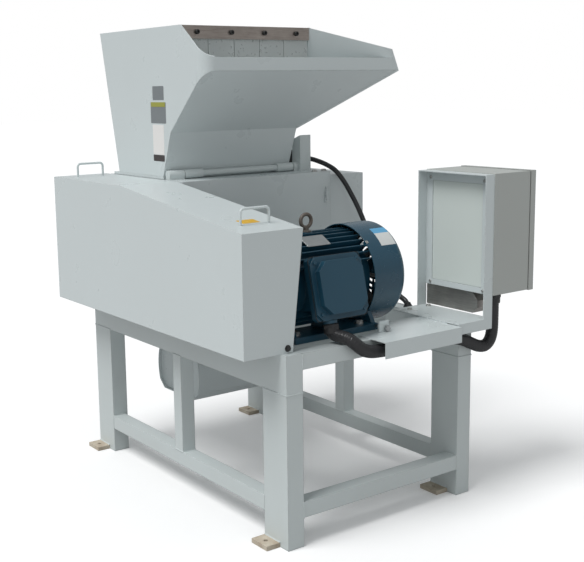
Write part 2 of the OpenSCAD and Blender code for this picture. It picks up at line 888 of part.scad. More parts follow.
// Funnel between the chamber and the drawer, with its flange
module discharge_funnel() {
    t = 3;
    top_lo = [inner_x0, 764, table_h - 6];
    top_hi = [inner_x1, 1160, table_h];
    low_lo = [drawer_x0 + 14, drawer_y - 88, funnel_z];
    low_hi = [drawer_x1 - 14, drawer_y + 88, funnel_z + 1];
    color(paint) placed() difference() {
        union() {
            block([chamber_x0, 734, table_h - 6], [chamber_x1, 1168, table_h]);
            hull() {
                block(top_lo, top_hi);
                block(low_lo, low_hi);
            }
            for (x = [drawer_x0 - 8, drawer_x1 - 22])
                block([x, drawer_y - 130, funnel_z - 3], [x + 30, drawer_y + 130, funnel_z + 1]);
            for (x = [drawer_x0 - 8, drawer_x1 + 5])
                block([x, drawer_y - 130, drawer_high - 8], [x + 3, drawer_y + 130, funnel_z]);
            block([drawer_x0 - 8, drawer_y - 130, drawer_high - 8], [drawer_x0 + 4, drawer_y + 130, drawer_high - 5]);
            block([drawer_x1 - 4, drawer_y - 130, drawer_high - 8], [drawer_x1 + 8, drawer_y + 130, drawer_high - 5]);
        }
        hull() {
            block(top_lo + [t, t, 1], top_hi + [-t, -t, 1]);
            block(low_lo + [t, t, -8], low_hi - [t, t, 0]);
        }
    }
}

// Barrel shaped side view of the drawer, drawn in by an amount all round
module drawer_outline(inset) {
    intersection() {
        translate([drawer_y + drawer_squeeze, drawer_z]) circle(r = drawer_bulge_r - inset);
        translate([drawer_y - drawer_squeeze, drawer_z]) circle(r = drawer_bulge_r - inset);
        polygon([
            [drawer_y - 106 + inset, drawer_low + inset], [drawer_y + 106 - inset, drawer_low + inset],
            [drawer_y + 160, drawer_low + 50], [drawer_y + 160, drawer_high], [drawer_y - 160, drawer_high],
            [drawer_y - 160, drawer_low + 50],
        ]);
    }
}

// Drawer that catches the granulate; it pulls out to the back
module collecting_drawer() {
    color(paint) placed() union() {
        along_x(drawer_x0 + 6, drawer_x1 - 6)
            difference() {
                drawer_outline(0);
                drawer_outline(drawer_t);
                translate([drawer_y - 90, drawer_high - 20]) square([180, 40]);
            }
        for (x = [drawer_x0 + drawer_inset, drawer_x1 - drawer_inset - drawer_t])
            along_x(x, x + drawer_t) drawer_outline(1);
        for (x = [drawer_x0 - 4, drawer_x1 - drawer_inset - drawer_t])
            block([x, drawer_y - 100, drawer_high - 4.5], [x + 25, drawer_y + 100, drawer_high]);
        difference() {
            bar_y(9, drawer_y + 145, drawer_y + 175, 385, 340);
            bar_y(6, drawer_y + 150, drawer_y + 180, 385, 340);
        }
    }
}

// Rotor shaft, stepped for the bearings
module rotor_shaft() {
    color(steel) placed() union() {
        bar_x(rotor_shaft_r, shaft_x0, shaft_x1, rotor_y, rotor_z);
        bar_x(rotor_shaft_r + 3, inner_x0 + 5, inner_x1 - 5, rotor_y, rotor_z);
    }
}

// Outline of one rotor disc: three arms with seats for the knives
module disc_outline() {
    arm = 360 / knives_per_disc;
    union() {
        circle(r = hub_r);
        for (i = [0:knives_per_disc - 1])
            rotate(i * arm)
                polygon([
                    [20, -60], [hub_r + 8, -52], [seat_r, -14], [seat_r, knife_seat], [60, knife_seat], [20, 40],
                ]);
    }
}
knife_seat = 10;

function disc_x(i) = disc_x0 + i * disc_pitch;
function disc_turn(i) = (i % 3) * 40;

// The rotor's discs, each turned from the next so that the cuts are staggered
module rotor_body() {
    color(paint) placed() translate([0, rotor_y, rotor_z]) difference() {
        union() {
            for (i = [0:disc_count - 1])
                translate([disc_x(i), 0, 0]) rotate([90, 0, 90]) rotate(disc_turn(i))
                    linear_extrude(disc_w) disc_outline();
            bar_x(hub_r - 16, inner_x0 + 8, inner_x1 - 8, 0, 0);
        }
        bar_x(rotor_shaft_r + 3, 0, 700, 0, 0);
    }
}

// Bolted knives, one on each arm of each disc
module rotor_knives() {
    color(steel) placed() translate([0, rotor_y, rotor_z]) for (i = [0:disc_count - 1])
        for (k = [0:knives_per_disc - 1])
            translate([disc_x(i), 0, 0]) rotate([90, 0, 90])
                rotate(disc_turn(i) + k * 360 / knives_per_disc) linear_extrude(disc_w)
                    polygon([
                        [knife_circle_r - knife_len, knife_seat], [knife_circle_r - 12, knife_seat],
                        [knife_circle_r - 1, knife_seat + knife_t], [knife_circle_r - knife_len, knife_seat + knife_t],
                    ]);
}

// Grooved pulley on the rotor shaft, with lightening holes in its web
module rotor_pulley() {
    color(steel) placed() translate([pulley_x0, rotor_y, rotor_z]) rotate([0, 90, 0])
        difference() {
            rotate_extrude() pulley_section(rotor_shaft_r, big_pulley_r, 62, 34);
            for (i = [0:5])
                rotate([0, 0, i * 60]) translate([102, 0, -1]) cylinder(r = 24, h = pulley_w + 2);
        }
}

// Flywheel at the right end of the rotor shaft
module flywheel() {
    color(steel) placed() translate([fly_x0, rotor_y, rotor_z]) rotate([0, 90, 0])
        rotate_extrude()
            polygon([
                [rotor_shaft_r, 0], [60, 0], [60, 20], [flywheel_r - 45, 20], [flywheel_r - 45, 0], [flywheel_r, 0],
                [flywheel_r, fly_w], [flywheel_r - 45, fly_w], [flywheel_r - 45, 40], [60, 40], [60, fly_w],
                [rotor_shaft_r, fly_w],
            ]);
}

// Post that holds the right end of the hinge rod, its top cut at a slope
module hinge_post() {
    w = small_tube;
    t = 3;
    color(paint) placed() difference() {
        along_x(post_x0, post_x0 + w)
            polygon([
                [post_y0, chamber_top_z], [post_y0 + w, chamber_top_z], [post_y0 + w, post_top - 18],
                [post_y0, post_top],
            ]);
        along_x(post_x0 + t, post_x0 + w - t)
            polygon([
                [post_y0 + t, chamber_top_z - 1], [post_y0 + w - t, chamber_top_z - 1],
                [post_y0 + w - t, post_top - 18 - t], [post_y0 + t, post_top - t - 1],
            ]);
    }
}

// Hinge rod with the sleeves that are welded to the chamber
module hinge_rod() {
    color(paint) placed() union() {
        bar_x(hinge_r, chamber_x0 + 4, post_x0, hinge_y, hinge_z);
        for (x = [[chamber_x0 + 4, chamber_x0 + 66], [post_x0 - 21, post_x0]]) {
            bar_x(sleeve_r, x[0], x[1], hinge_y, hinge_z);
            block([x[0], hinge_y - 13, chamber_top_z], [x[1], hinge_y + 13, hinge_z - 5]);
        }
    }
}

// The hopper's sleeves, turning on the rod, and their webs to the front wall
module hinge_sleeves() {
    top = hinge_z + 6;
    wall_at = front_foot[0] - (top - base_z) * (front_foot[0] - front_fold[0]) / (front_fold[1] - base_z);
    color(paint) placed() for (x = [[chamber_x0 + 68, chamber_x0 + 146], [566, 638]])
        difference() {
            union() {
                bar_x(sleeve_r, x[0], x[1], hinge_y, hinge_z);
                along_x(x[0] + 6, x[1] - 6)
                    polygon([
                        [hinge_y, hinge_z - 5], front_foot, [wall_at, top], [hinge_y, hinge_z + 8],
                    ]);
            }
            bar_x(hinge_r + run_gap, x[0] - 1, x[1] + 1, hinge_y, hinge_z);
        }
}

// The right wing is one flat sheet through the fold, the hood and the lip
wing_low = [hopper_x1, front_fold[0], front_fold[1]];
wing_tip = [lip_x1, lip_y, lip_z];
wing_top = [hopper_x1, hood_front[0], hood_front[1]];
wing_normal = unit(cross(wing_top - wing_low, wing_tip - wing_low));
wing_inward = wing_normal[0] > 0 ? -wing_normal : wing_normal;
function wing_x(y, z) =
    hopper_x1 - (wing_normal[1] * (y - wing_low[1]) + wing_normal[2] * (z - wing_low[2])) / wing_normal[0];

// The right wing, drawn flat and turned into its plane
module right_wing(t) {
    outline = [
        wing_flat(wing_low) + [-2, -3], wing_flat(wing_tip) + [2, -3],
        wing_flat([wing_x(lip_y, 1500), lip_y, 1500]) + [2, 0], wing_flat(wing_top) + [-2, 0],
    ];
    translate(wing_low) multmatrix([
        [wing_u[0], wing_v[0], wing_inward[0], 0],
        [wing_u[1], wing_v[1], wing_inward[1], 0],
        [wing_u[2], wing_v[2], wing_inward[2], 0],
        [0, 0, 0, 1],
    ]) linear_extrude(t) polygon(outline);
}
wing_u = unit(wing_tip - wing_low);
wing_v = cross(wing_inward, wing_u);
function wing_flat(p) = [(p - wing_low) * wing_u, (p - wing_low) * wing_v];

// Hopper: hood, body, slanted feed plate with its wings, and the lip
module hopper_shell() {
    t = sheet_t;
    x0 = hopper_x0;
    x1 = hopper_x1;
    bend_y = lip_y + lip_bend_r;
    bend_x = x0 + lip_bend_r;
    lip_top = lip_z + lip_h;
    color(paint) placed() union() {
        along_x(x0, x0 + t)
            polygon([
                front_foot, front_fold, [bend_y, floor_z(bend_y)], [bend_y, wing_front_z], hood_front, hood_rear,
                rear_foot,
            ]);
        along_x(x1 - t, x1) polygon([front_foot, front_fold, hood_front, hood_rear, rear_foot]);
        along_x(x0, x1)
            polygon([front_foot, front_fold, front_fold + [t, 0], front_foot + [t, 0]]);
        along_x(x0, x1)
            polygon([rear_foot, hood_rear, hood_rear - [t, 0], rear_foot - [t, 0]]);
        block([x0, hood_front[0] + 12, hopper_top_z - t], [x1, hood_rear[0], hopper_top_z]);
        block([x0, hood_front[0] + clamp_t + curtain_t, hopper_top_z - clamp_h],
            [x1, hood_front[0] + clamp_t + curtain_t + t, hopper_top_z]);
        feed_floor();
        along_y(lip_y, lip_y + t)
            polygon([
                [bend_x, lip_z], [lip_x1 - 2, lip_z], [wing_x(lip_y, lip_top) - 2, lip_top], [bend_x, lip_top],
            ]);
        along_y(lip_y, lip_y + 3 * t)
            polygon([
                [bend_x, lip_top - t], [wing_x(lip_y, lip_top) - 8, lip_top - t],
                [wing_x(lip_y, lip_top) - 8, lip_top], [bend_x, lip_top],
            ]);
        lip_corner();
        right_wing(t);
    }
}

// Height of the feed plate's underside at a distance from the front
function floor_z(y) = lip_z + (front_fold[1] - lip_z) * (y - lip_y) / (front_fold[0] - lip_y);

// Slanted feed plate, cut to its plan outline
module feed_floor() {
    rise = 1.37 * sheet_t;
    in = 1.5;
    intersection() {
        along_x(hopper_x0, lip_x1)
            polygon([
                front_fold, [lip_y, lip_z], [lip_y, lip_z + rise], front_fold + [sheet_t, rise],
                front_fold + [sheet_t, -2],
            ]);
        along_z(front_fold[1] - 10, lip_z + 20) union() {
            polygon([
                [hopper_x0 + in, front_fold[0] + 10], [hopper_x1 - in, front_fold[0] + 10],
                [hopper_x1 - in, front_fold[0]], [lip_x1 - 2 * in, lip_y + in],
                [hopper_x0 + lip_bend_r, lip_y + in], [hopper_x0 + in, lip_y + lip_bend_r],
            ]);
            translate([hopper_x0 + lip_bend_r, lip_y + lip_bend_r]) circle(r = lip_bend_r - in);
        }
    }
}

// Rounded left corner of the lip, its top edge falling towards the front
module lip_corner() {
    c = [hopper_x0 + lip_bend_r, lip_y + lip_bend_r];
    intersection() {
        translate([c[0], c[1], lip_z - 1]) rotate([0, 0, 180]) rotate_extrude(angle = 90)
            translate([lip_bend_r - sheet_t, 0]) square([sheet_t, 90]);
        along_x(hopper_x0 - 1, c[0] + 1)
            polygon([
                [lip_y - 1, lip_z], [c[1] + 1, floor_z(c[1])], [c[1] + 1, wing_front_z], [lip_y - 1, lip_z + lip_h],
            ]);
    }
}

// Flange under the hopper, standing on the chamber
module hopper_flange() {
    color(paint) placed() difference() {
        block([hopper_x0, 824, flange_z], [656, 1192, base_z]);
        block([hopper_x0 + sheet_t, 832, flange_z - 1], [hopper_x1 - sheet_t, 1144, base_z + 1]);
        for (x = knob_xs)
            bar_z(6 + run_gap, flange_z - 1, base_z + 1, x, knob_y);
    }
}

// Stainless bar that clamps the curtain under the hood's front edge
module clamp_bar() {
    bolt_xs = [for (i = [0:3]) hopper_x0 + 64 + i * 140];
    color(stainless) placed() difference() {
        block([hopper_x0 + sheet_t, hood_front[0], hopper_top_z - clamp_h],
            [hopper_x1 - sheet_t, hood_front[0] + clamp_t, hopper_top_z - 1]);
        for (x = bolt_xs)
            bar_y(5, hood_front[0] - 1, hood_front[0] + clamp_t + 1, x, hopper_top_z - clamp_h / 2);
    }
}

// Splash curtain: strips that hang behind the clamp bar
module splash_curtain() {
    span = hopper_x1 - hopper_x0 - 2 * sheet_t - 4;
    w = span / curtain_strips;
    y0 = hood_front[0] + clamp_t;
    color(cabinet_grey) placed() for (i = [0:curtain_strips - 1])
        block([hopper_x0 + sheet_t + 2 + i * w + 1, y0, 1305],
            [hopper_x0 + sheet_t + 2 + (i + 1) * w - 1, y0 + curtain_t, hopper_top_z - 2]);
}

// Limit switch behind the hinge post
module limit_switch() {
    y0 = post_y0 + small_tube;
    color(rubber_black) placed() union() {
        block([post_x0 + 10, y0, 1068], [post_x0 + 42, y0 + 34, 1132]);
        bar_z(4, 1132, 1150, post_x0 + 26, y0 + 17);
        bar_x(6, post_x0 - 4, post_x0 + 28, y0 + 17, 1146);
    }
}

// Cable of the limit switch, down behind the motor to the table
module switch_cable() {
    color(rubber_black) placed() swept(cable_route, cable_r, 10, 2, [0, 0, 1]);
}

// Folded bracket that carries the cabinet
module control_bracket() {
    t = bracket_t;
    x1 = cabinet_x0;
    top = 1080;
    foot = table_h + cover_t;
    window = [[-5, 702], [222, 1046]];
    color(paint) placed() union() {
        block([655, bracket_y0, foot], [x1, cabinet_y1, foot + t]);
        block([655, bracket_y0, foot - 31], [x1, bracket_y0 + t, foot]);
        block([bracket_x0, bracket_y0, foot], [x1, bracket_y0 + t, top]);
        block([bracket_x0, cabinet_y1 - t, foot], [x1, cabinet_y1, top]);
        block([bracket_x0, bracket_y0, top - t], [x1, cabinet_y1, top]);
        difference() {
            block([x1 - t, bracket_y0, cabinet_z0], [x1, cabinet_y1, top]);
            block([x1 - t - 1, window[0][0], window[0][1]], [x1 + 1, window[1][0], window[1][1]]);
        }
    }
}

// Body of the cabinet, open towards the door, with the fixed hinge barrels
module cabinet_body() {
    t = 2;
    color(cabinet_grey) placed() {
        difference() {
            block([cabinet_x0, cabinet_y0, cabinet_z0], [cabinet_x1, cabinet_y1, cabinet_z1]);
            block([cabinet_x0 + t, cabinet_y0 + t, cabinet_z0 + t], [cabinet_x1 + 1, cabinet_y1 - t, cabinet_z1 - t]);
        }
        for (z = hinge_zs) {
            block([cabinet_x1 - 30, cabinet_y1, z - 30], [cabinet_x1 - 4, cabinet_y1 + 3, z + 30]);
            block([cabinet_x1 - 6, cabinet_y1 + 3, z - 30], [door_axis[0] - 2, cabinet_y1 + 6, z - 11]);
            block([cabinet_x1 - 6, cabinet_y1, z - 30], [cabinet_x1 - 4, cabinet_y1 + 6, z - 11]);
            bar_z(5, z - 30, z - 11, door_axis[0], door_axis[1]);
            bar_z(2.5, z - 12, z + 28, door_axis[0], door_axis[1]);
        }
    }
}
hinge_zs = [cabinet_z0 + 80, cabinet_z1 - 80];

// Mounting plate with rails, breakers and contactors
module switchgear() {
    x0 = cabinet_x0 + 12;
    color(steel) placed() union() {
        block([x0, -38, 705], [x0 + 3, 240, 1060]);
        for (y = [-30, 232])
            for (z = [715, 1050])
                bar_x(5, cabinet_x0 + 2, x0, y, z);
        for (z = [800, 965])
            block([x0 + 3, -20, z], [x0 + 11, 220, z + 35]);
        for (i = [0:2])
            block([x0 + 11, -15 + i * 62, 772], [x0 + 80, 38 + i * 62, 862]);
        for (i = [0:2])
            block([x0 + 11, -15 + i * 50, 938], [x0 + 75, 25 + i * 50, 1022]);
        block([x0 + 11, 150, 945], [x0 + 60, 215, 1015]);
    }
}

// Cabinet door: a tray with its hinge barrels and the holes for the controls
module cabinet_door() {
    t = 2;
    y0 = cabinet_y0 - 2;
    y1 = cabinet_y1 + 2;
    color(paint) placed() difference() {
        union() {
            difference() {
                block([door_x0, y0, cabinet_z0 - 2], [door_x1, y1, cabinet_z1 + 2]);
                block([door_x0 - 1, y0 + t, cabinet_z0], [door_x1 - t, y1 - t, cabinet_z1]);
            }
            for (z = hinge_zs) {
                bar_z(5, z - 10, z + 30, door_axis[0], door_axis[1]);
                block([door_axis[0] - 4, y1 - 1, z - 10], [door_axis[0] + 1, door_axis[1] - 2, z + 30]);
            }
            for (p = [start_at, stop_at])
                bar_x(15, door_x1, door_x1 + 4, p[0], p[1]);
            bar_x(17, door_x1, door_x1 + 3, emergency_at[0], emergency_at[1]);
            bar_x(22, door_x1, door_x1 + 3, switch_at[0], switch_at[1]);
            bar_x(11, door_x1, door_x1 + 2, lock_at[0], lock_at[1]);
        }
        for (z = hinge_zs)
            bar_z(2.5 + run_gap, z - 11, z + 31, door_axis[0], door_axis[1]);
        for (p = [start_at, stop_at])
            bar_x(11.5, door_x1 - 3, door_x1 + 5, p[0], p[1]);
        for (p = [emergency_at, switch_at, lock_at])
            bar_x(8 + run_gap, door_x1 - 3, door_x1 + 5, p[0], p[1]);
    }
}

// A flush push button in its bezel
module push_button(p, tint) {
    color(tint) placed() union() {
        bar_x(11, door_x1 - 1, door_x1 + 9, p[0], p[1]);
        bar_x(6, door_x1 - 14, door_x1, p[0], p[1]);
    }
}

module start_button() {
    push_button(start_at, [0.05, 0.5, 0.2]);
}

module stop_button() {
    push_button(stop_at, [0.7, 0.08, 0.06]);
}

// Mushroom head of the emergency stop
module emergency_stop() {
    color([0.75, 0.06, 0.05]) placed() translate([door_x1, emergency_at[0], emergency_at[1]]) rotate([0, 90, 0])
        rotate_extrude()
            polygon([
                [0, -14], [8, -14], [8, 12], [18, 14], [20, 18], [20, 24], [15, 29], [8, 31], [0, 31.5],
            ]);
}

// Rotary main switch with its grip
module main_switch() {
    color(rubber_black) placed() translate([door_x1, switch_at[0], switch_at[1]]) rotate([0, 90, 0]) union() {
        translate([0, 0, -14]) cylinder(r = 8, h = 20);
        translate([0, 0, 3.5]) cylinder(r = 19, h = 9);
        translate([-19, -5, 3.5]) cube([38, 10, 24]);
    }
}

// Turning lock of the door, with its cam inside
module door_lock() {
    color(steel) placed() translate([door_x1, lock_at[0], lock_at[1]]) rotate([0, 90, 0]) union() {
        translate([0, 0, -16]) cylinder(r = 8, h = 22);
        translate([-8, -3, 6]) cube([16, 6, 8]);
        translate([-7, -5, -19]) cube([14, 14, 3]);
    }
}

// Cable duct under the cabinet, its front end cut on both corners
module cable_duct() {
    t = 2;
    z0 = 610;
    color(steel) placed() difference() {
        along_x(cabinet_x0 + 1, cabinet_x0 + 50)
            polygon([[250, z0], [250, cabinet_z0], [38, cabinet_z0], [14, cabinet_z0 - 28], [14, z0 + 20], [34, z0]]);
        along_x(cabinet_x0 + 1 + t, cabinet_x0 + 50 - t)
            polygon([[251, z0 + t], [251, cabinet_z0 - t], [39, cabinet_z0 - t], [16, cabinet_z0 - 29],
                [16, z0 + 21], [35, z0 + t]]);
    }
}

// Star knob with its stud, held in the hopper's rear flange
module star_knob(x) {
    color(rubber_black) placed() translate([x, knob_y, 0]) union() {
        translate([0, 0, flange_z + 0.5]) cylinder(r = 6, h = 16);
        translate([0, 0, base_z + 4]) linear_extrude(18) union() {
            circle(r = 16);
            for (i = [0:4])
                rotate(i * 72) translate([16, 0]) circle(r = 8);
        }
    }
}

module hold_down_knob_left() {
    star_knob(knob_xs[0]);
}

module hold_down_knob_right() {
    star_knob(knob_xs[1]);
}

frame_uprights();
anchor_lugs();
top_beams();
frame_rails();
cable_cover();
tension_tab();
tension_screw();
motor_housing();
motor_end_shield();
fan_cowl();
terminal_box();
terminal_lid();
lifting_eye();
motor_stator();
motor_shaft();
motor_pulley();
cooling_fan();
motor_conduit();
drive_belts();
belt_guard();
guard_handles();
chamber_left_plate();
chamber_right_plate();
chamber_front_wall();
chamber_rear_wall();
chamber_top();
chamber_covers();
flywheel_cover();
bearing_housings();
fixed_knives();
screen();
screen_cradle();
discharge_funnel();
collecting_drawer();
rotor_shaft();
rotor_body();
rotor_knives();
rotor_pulley();
flywheel();
hinge_post();
hinge_rod();
hopper_shell();
hopper_flange();
hinge_sleeves();
clamp_bar();
splash_curtain();
limit_switch();
switch_cable();
control_bracket();
cabinet_body();
switchgear();
cabinet_door();
start_button();
stop_button();
emergency_stop();
main_switch();
cable_duct();
hold_down_knob_left();
hold_down_knob_right();
door_lock();
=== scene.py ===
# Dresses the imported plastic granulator: paint, cast and steel finishes, hoses,
# fasteners, weld beads, bare plates, and the studio with its camera.
import math

import bmesh
import bpy
from bpy.props import FloatProperty, FloatVectorProperty, IntProperty, PointerProperty
from mathutils import Matrix, Vector


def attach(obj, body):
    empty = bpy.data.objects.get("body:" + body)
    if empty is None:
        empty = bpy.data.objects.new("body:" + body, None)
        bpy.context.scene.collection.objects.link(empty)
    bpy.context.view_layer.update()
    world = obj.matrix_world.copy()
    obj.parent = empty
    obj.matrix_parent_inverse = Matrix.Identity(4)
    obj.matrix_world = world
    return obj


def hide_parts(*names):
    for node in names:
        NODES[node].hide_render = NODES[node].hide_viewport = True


bl_info = {
    "name": "Plastic granulator dresser",
    "version": (1, 0, 0),
    "blender": (4, 5, 0),
    "location": "3D View > Sidebar > Granulator",
    "description": "Finishes, hoses, fasteners and studio for a plastic granulator",
    "category": "Object",
}

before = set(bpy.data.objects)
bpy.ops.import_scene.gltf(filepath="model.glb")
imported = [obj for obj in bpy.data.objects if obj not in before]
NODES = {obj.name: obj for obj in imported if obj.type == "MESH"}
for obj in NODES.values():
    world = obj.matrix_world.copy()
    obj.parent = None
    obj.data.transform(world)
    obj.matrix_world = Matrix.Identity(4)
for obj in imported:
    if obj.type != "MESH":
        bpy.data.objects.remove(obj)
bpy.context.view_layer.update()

# Sizes that the part's source gives in millimetres, from the front left leg's corner
ORIGIN_MM = Vector((330, 630.5, 0))
MOTOR_Y, MOTOR_Z = 254, 760
FOOT_HALF_SPACING = 127
BOX_TILT = math.radians(14)
ROTOR_Y, ROTOR_Z = 945, 800
HOPPER_X0, HOPPER_X1 = 92, 640
COVER_TOP_Z = 1055
DOOR_FACE_X = 1005
TUBE = 50
LEG_X, LEG_Y = 60, 120
TABLE_Z, RAIL_Z = 600, 91
CONDUIT_ROUTE = [
    (205, 51.8, 660), (205, 47, 641), (208, 36, 629), (216, 12, 624), (228, -12, 618), (245, -27, 601),
    (268, -31, 583), (300, -29, 572), (345, -26, 567), (430, -26, 564), (530, -26, 561), (610, -26, 560),
    (665, -26, 556), (705, -26, 545), (740, -26, 529), (772, -27, 515), (803, -28, 511), (826, -29, 526),
    (836, -30, 556), (838, -30, 600), (838, -30, 645), (838, -30, 683),
]
CABLE_ROUTE = [
    (704, 845, 1098), (722, 842, 1099), (738, 812, 1096), (748, 775, 1088), (756, 735, 1076), (766, 695, 1056),
    (778, 664, 1020), (792, 640, 976), (806, 612, 920), (812, 580, 860), (806, 540, 795), (792, 490, 735),
    (772, 430, 688), (754, 370, 655), (744, 318, 634), (742, 284, 620), (742, 271, 599.6),
]

# The photo's viewpoint, fitted to corners that it shows
CAMERA_PLACE = (-2.0753, -2.9478, 1.3659)
CAMERA_HEADING, CAMERA_PITCH, CAMERA_ROLL = -35.169, 90 - 9.488, -0.974
CAMERA_LENS, CAMERA_SHIFT = 63.68, (0.0671, -0.0338)

# Lamps: name, strength, angle in degrees, and the direction that the light comes from
LAMPS = (("key", 2.05, 28, (-0.50, 0.0, 0.86)), ("fill", 0.10, 60, (-0.55, -0.80, 0.25)))
FLOOR_HALF, FLOOR_DROP = 40.0, 0.0005

# Which finish each carried-over solid gets
NODE_FINISH = {
    "Stand paint": ["frame_uprights", "top_beams", "frame_rails", "hinge_post", "hinge_rod", "hinge_sleeves",
                    "chamber_left_plate", "chamber_right_plate", "chamber_front_wall", "chamber_rear_wall",
                    "screen_cradle", "rotor_body"],
    "Sheet paint": ["cable_cover", "tension_tab", "belt_guard", "guard_handles", "chamber_top",
                    "chamber_covers", "flywheel_cover", "discharge_funnel", "collecting_drawer", "hopper_shell",
                    "hopper_flange", "control_bracket"],
    "Lug primer": ["anchor_lugs"],
    "Cast motor paint": ["motor_housing", "motor_end_shield", "terminal_box", "terminal_lid", "bearing_housings"],
    "Pressed motor paint": ["fan_cowl"],
    "Turned steel": ["tension_screw", "motor_stator", "motor_shaft", "motor_pulley", "rotor_shaft", "rotor_pulley",
                     "flywheel", "door_lock"],
    "Forged eye": ["lifting_eye"],
    "Knife steel": ["fixed_knives", "rotor_knives", "screen"],
    "Brushed clamp": ["clamp_bar"],
    "Curtain": ["splash_curtain"],
    "Belt rubber": ["drive_belts"],
    "Moulded black": ["cooling_fan", "limit_switch", "main_switch", "hold_down_knob_left", "hold_down_knob_right"],
    "Cabinet paint": ["cabinet_body", "cabinet_door", "switchgear"],
    "Duct metal": ["cable_duct"],
    "Start green": ["start_button"],
    "Stop red": ["stop_button", "emergency_stop"],
}


def at(x, y, z):
    """A place in the source's millimetres, as a vector in metres about the part's origin."""
    return (Vector((x, y, z)) - ORIGIN_MM) / 1000


def on_motor(x, across, up):
    """A place in the tilted directions of the terminal box, from the motor's axis."""
    c, s = math.cos(-BOX_TILT), math.sin(-BOX_TILT)
    return at(x, MOTOR_Y + across * c - up * s, MOTOR_Z + across * s + up * c)


# Shader building

def new_group(name, inputs, outputs):
    """An empty shader node group with its named sockets and their defaults."""
    group = bpy.data.node_groups.new(name, "ShaderNodeTree")
    for label, kind, default in inputs:
        socket = group.interface.new_socket(label, in_out="INPUT", socket_type=kind)
        if default is not None:
            socket.default_value = default
    for label, kind in outputs:
        group.interface.new_socket(label, in_out="OUTPUT", socket_type=kind)
    return group, group.nodes.new("NodeGroupInput"), group.nodes.new("NodeGroupOutput")


def math_node(tree, kind, a, b=None, clamp=False):
    """A Math node whose inputs are sockets or plain numbers; gives its output socket."""
    node = tree.nodes.new("ShaderNodeMath")
    node.operation = kind
    node.use_clamp = clamp
    for socket, value in zip(node.inputs, (a, b)):
        if value is None:
            continue
        if isinstance(value, (int, float)):
            socket.default_value = value
        else:
            tree.links.new(value, socket)
    return node.outputs[0]


def noise(tree, vector, scale, detail=3.0, rough=0.55):
    """A 3D noise's factor; the scale is a socket or a number."""
    node = tree.nodes.new("ShaderNodeTexNoise")
    tree.links.new(vector, node.inputs["Vector"])
    if isinstance(scale, (int, float)):
        node.inputs["Scale"].default_value = scale
    else:
        tree.links.new(scale, node.inputs["Scale"])
    node.inputs["Detail"].default_value = detail
    node.inputs["Roughness"].default_value = rough
    return node.outputs["Fac"]


def ranged(tree, value, low, high, to_low=0.0, to_high=1.0):
    """A clamped Map Range."""
    node = tree.nodes.new("ShaderNodeMapRange")
    node.clamp = True
    tree.links.new(value, node.inputs["Value"])
    for name, number in (("From Min", low), ("From Max", high), ("To Min", to_low), ("To Max", to_high)):
        node.inputs[name].default_value = number
    return node.outputs["Result"]


def blended(tree, factor, a, b):
    """A colour mix; a and b are sockets or colours."""
    node = tree.nodes.new("ShaderNodeMix")
    node.data_type = "RGBA"
    tree.links.new(factor, node.inputs["Factor"])
    for socket, value in ((node.inputs[6], a), (node.inputs[7], b)):
        if isinstance(value, (tuple, list)):
            socket.default_value = (*value[:3], 1)
        else:
            tree.links.new(value, socket)
    return node.outputs[2]


def paint_skin_group():
    """Sprayed or powder paint: cloudy patches, dust that gathers low down, and fine grain."""
    group, into, out = new_group(
        "Paint skin",
        [("Vector", "NodeSocketVector", None), ("Colour", "NodeSocketColor", (0.6, 0.6, 0.6, 1)),
         ("Dust Colour", "NodeSocketColor", (0.4, 0.36, 0.3, 1)), ("Patch Scale", "NodeSocketFloat", 3.0),
         ("Patch Amount", "NodeSocketFloat", 0.15), ("Grain Scale", "NodeSocketFloat", 900.0),
         ("Roughness", "NodeSocketFloat", 0.35)],
        [("Color", "NodeSocketColor"), ("Roughness", "NodeSocketFloat"), ("Height", "NodeSocketFloat")],
    )
    vector = into.outputs["Vector"]
    patches = noise(group, vector, into.outputs["Patch Scale"], 5.0)
    scuffs = noise(group, vector, math_node(group, "MULTIPLY", into.outputs["Patch Scale"], 5.0), 4.0, 0.5)
    split = group.nodes.new("ShaderNodeSeparateXYZ")
    group.links.new(vector, split.inputs[0])
    low = ranged(group, split.outputs["Z"], 0.0, 0.35, 1.0, 0.35)
    cloud = ranged(group, patches, 0.38, 0.68)
    speck = ranged(group, scuffs, 0.56, 0.74)
    dirt = math_node(group, "ADD", math_node(group, "MULTIPLY", cloud, 0.88),
                     math_node(group, "MULTIPLY", speck, 0.12))
    lowered = math_node(group, "MULTIPLY", dirt, low)
    amount = math_node(group, "MULTIPLY", lowered, into.outputs["Patch Amount"], clamp=True)
    colour = blended(group, amount, into.outputs["Colour"], into.outputs["Dust Colour"])
    group.links.new(colour, out.inputs["Color"])
    rougher = math_node(group, "MULTIPLY", math_node(group, "SUBTRACT", scuffs, 0.5), 0.18)
    rough = math_node(group, "ADD", into.outputs["Roughness"], rougher, clamp=True)
    group.links.new(rough, out.inputs["Roughness"])
    peel = noise(group, vector, into.outputs["Grain Scale"], 2.0)
    wave = noise(group, vector, 14.0, 1.0)
    group.links.new(math_node(group, "ADD", peel, math_node(group, "MULTIPLY", wave, 1.5)), out.inputs["Height"])
    return group


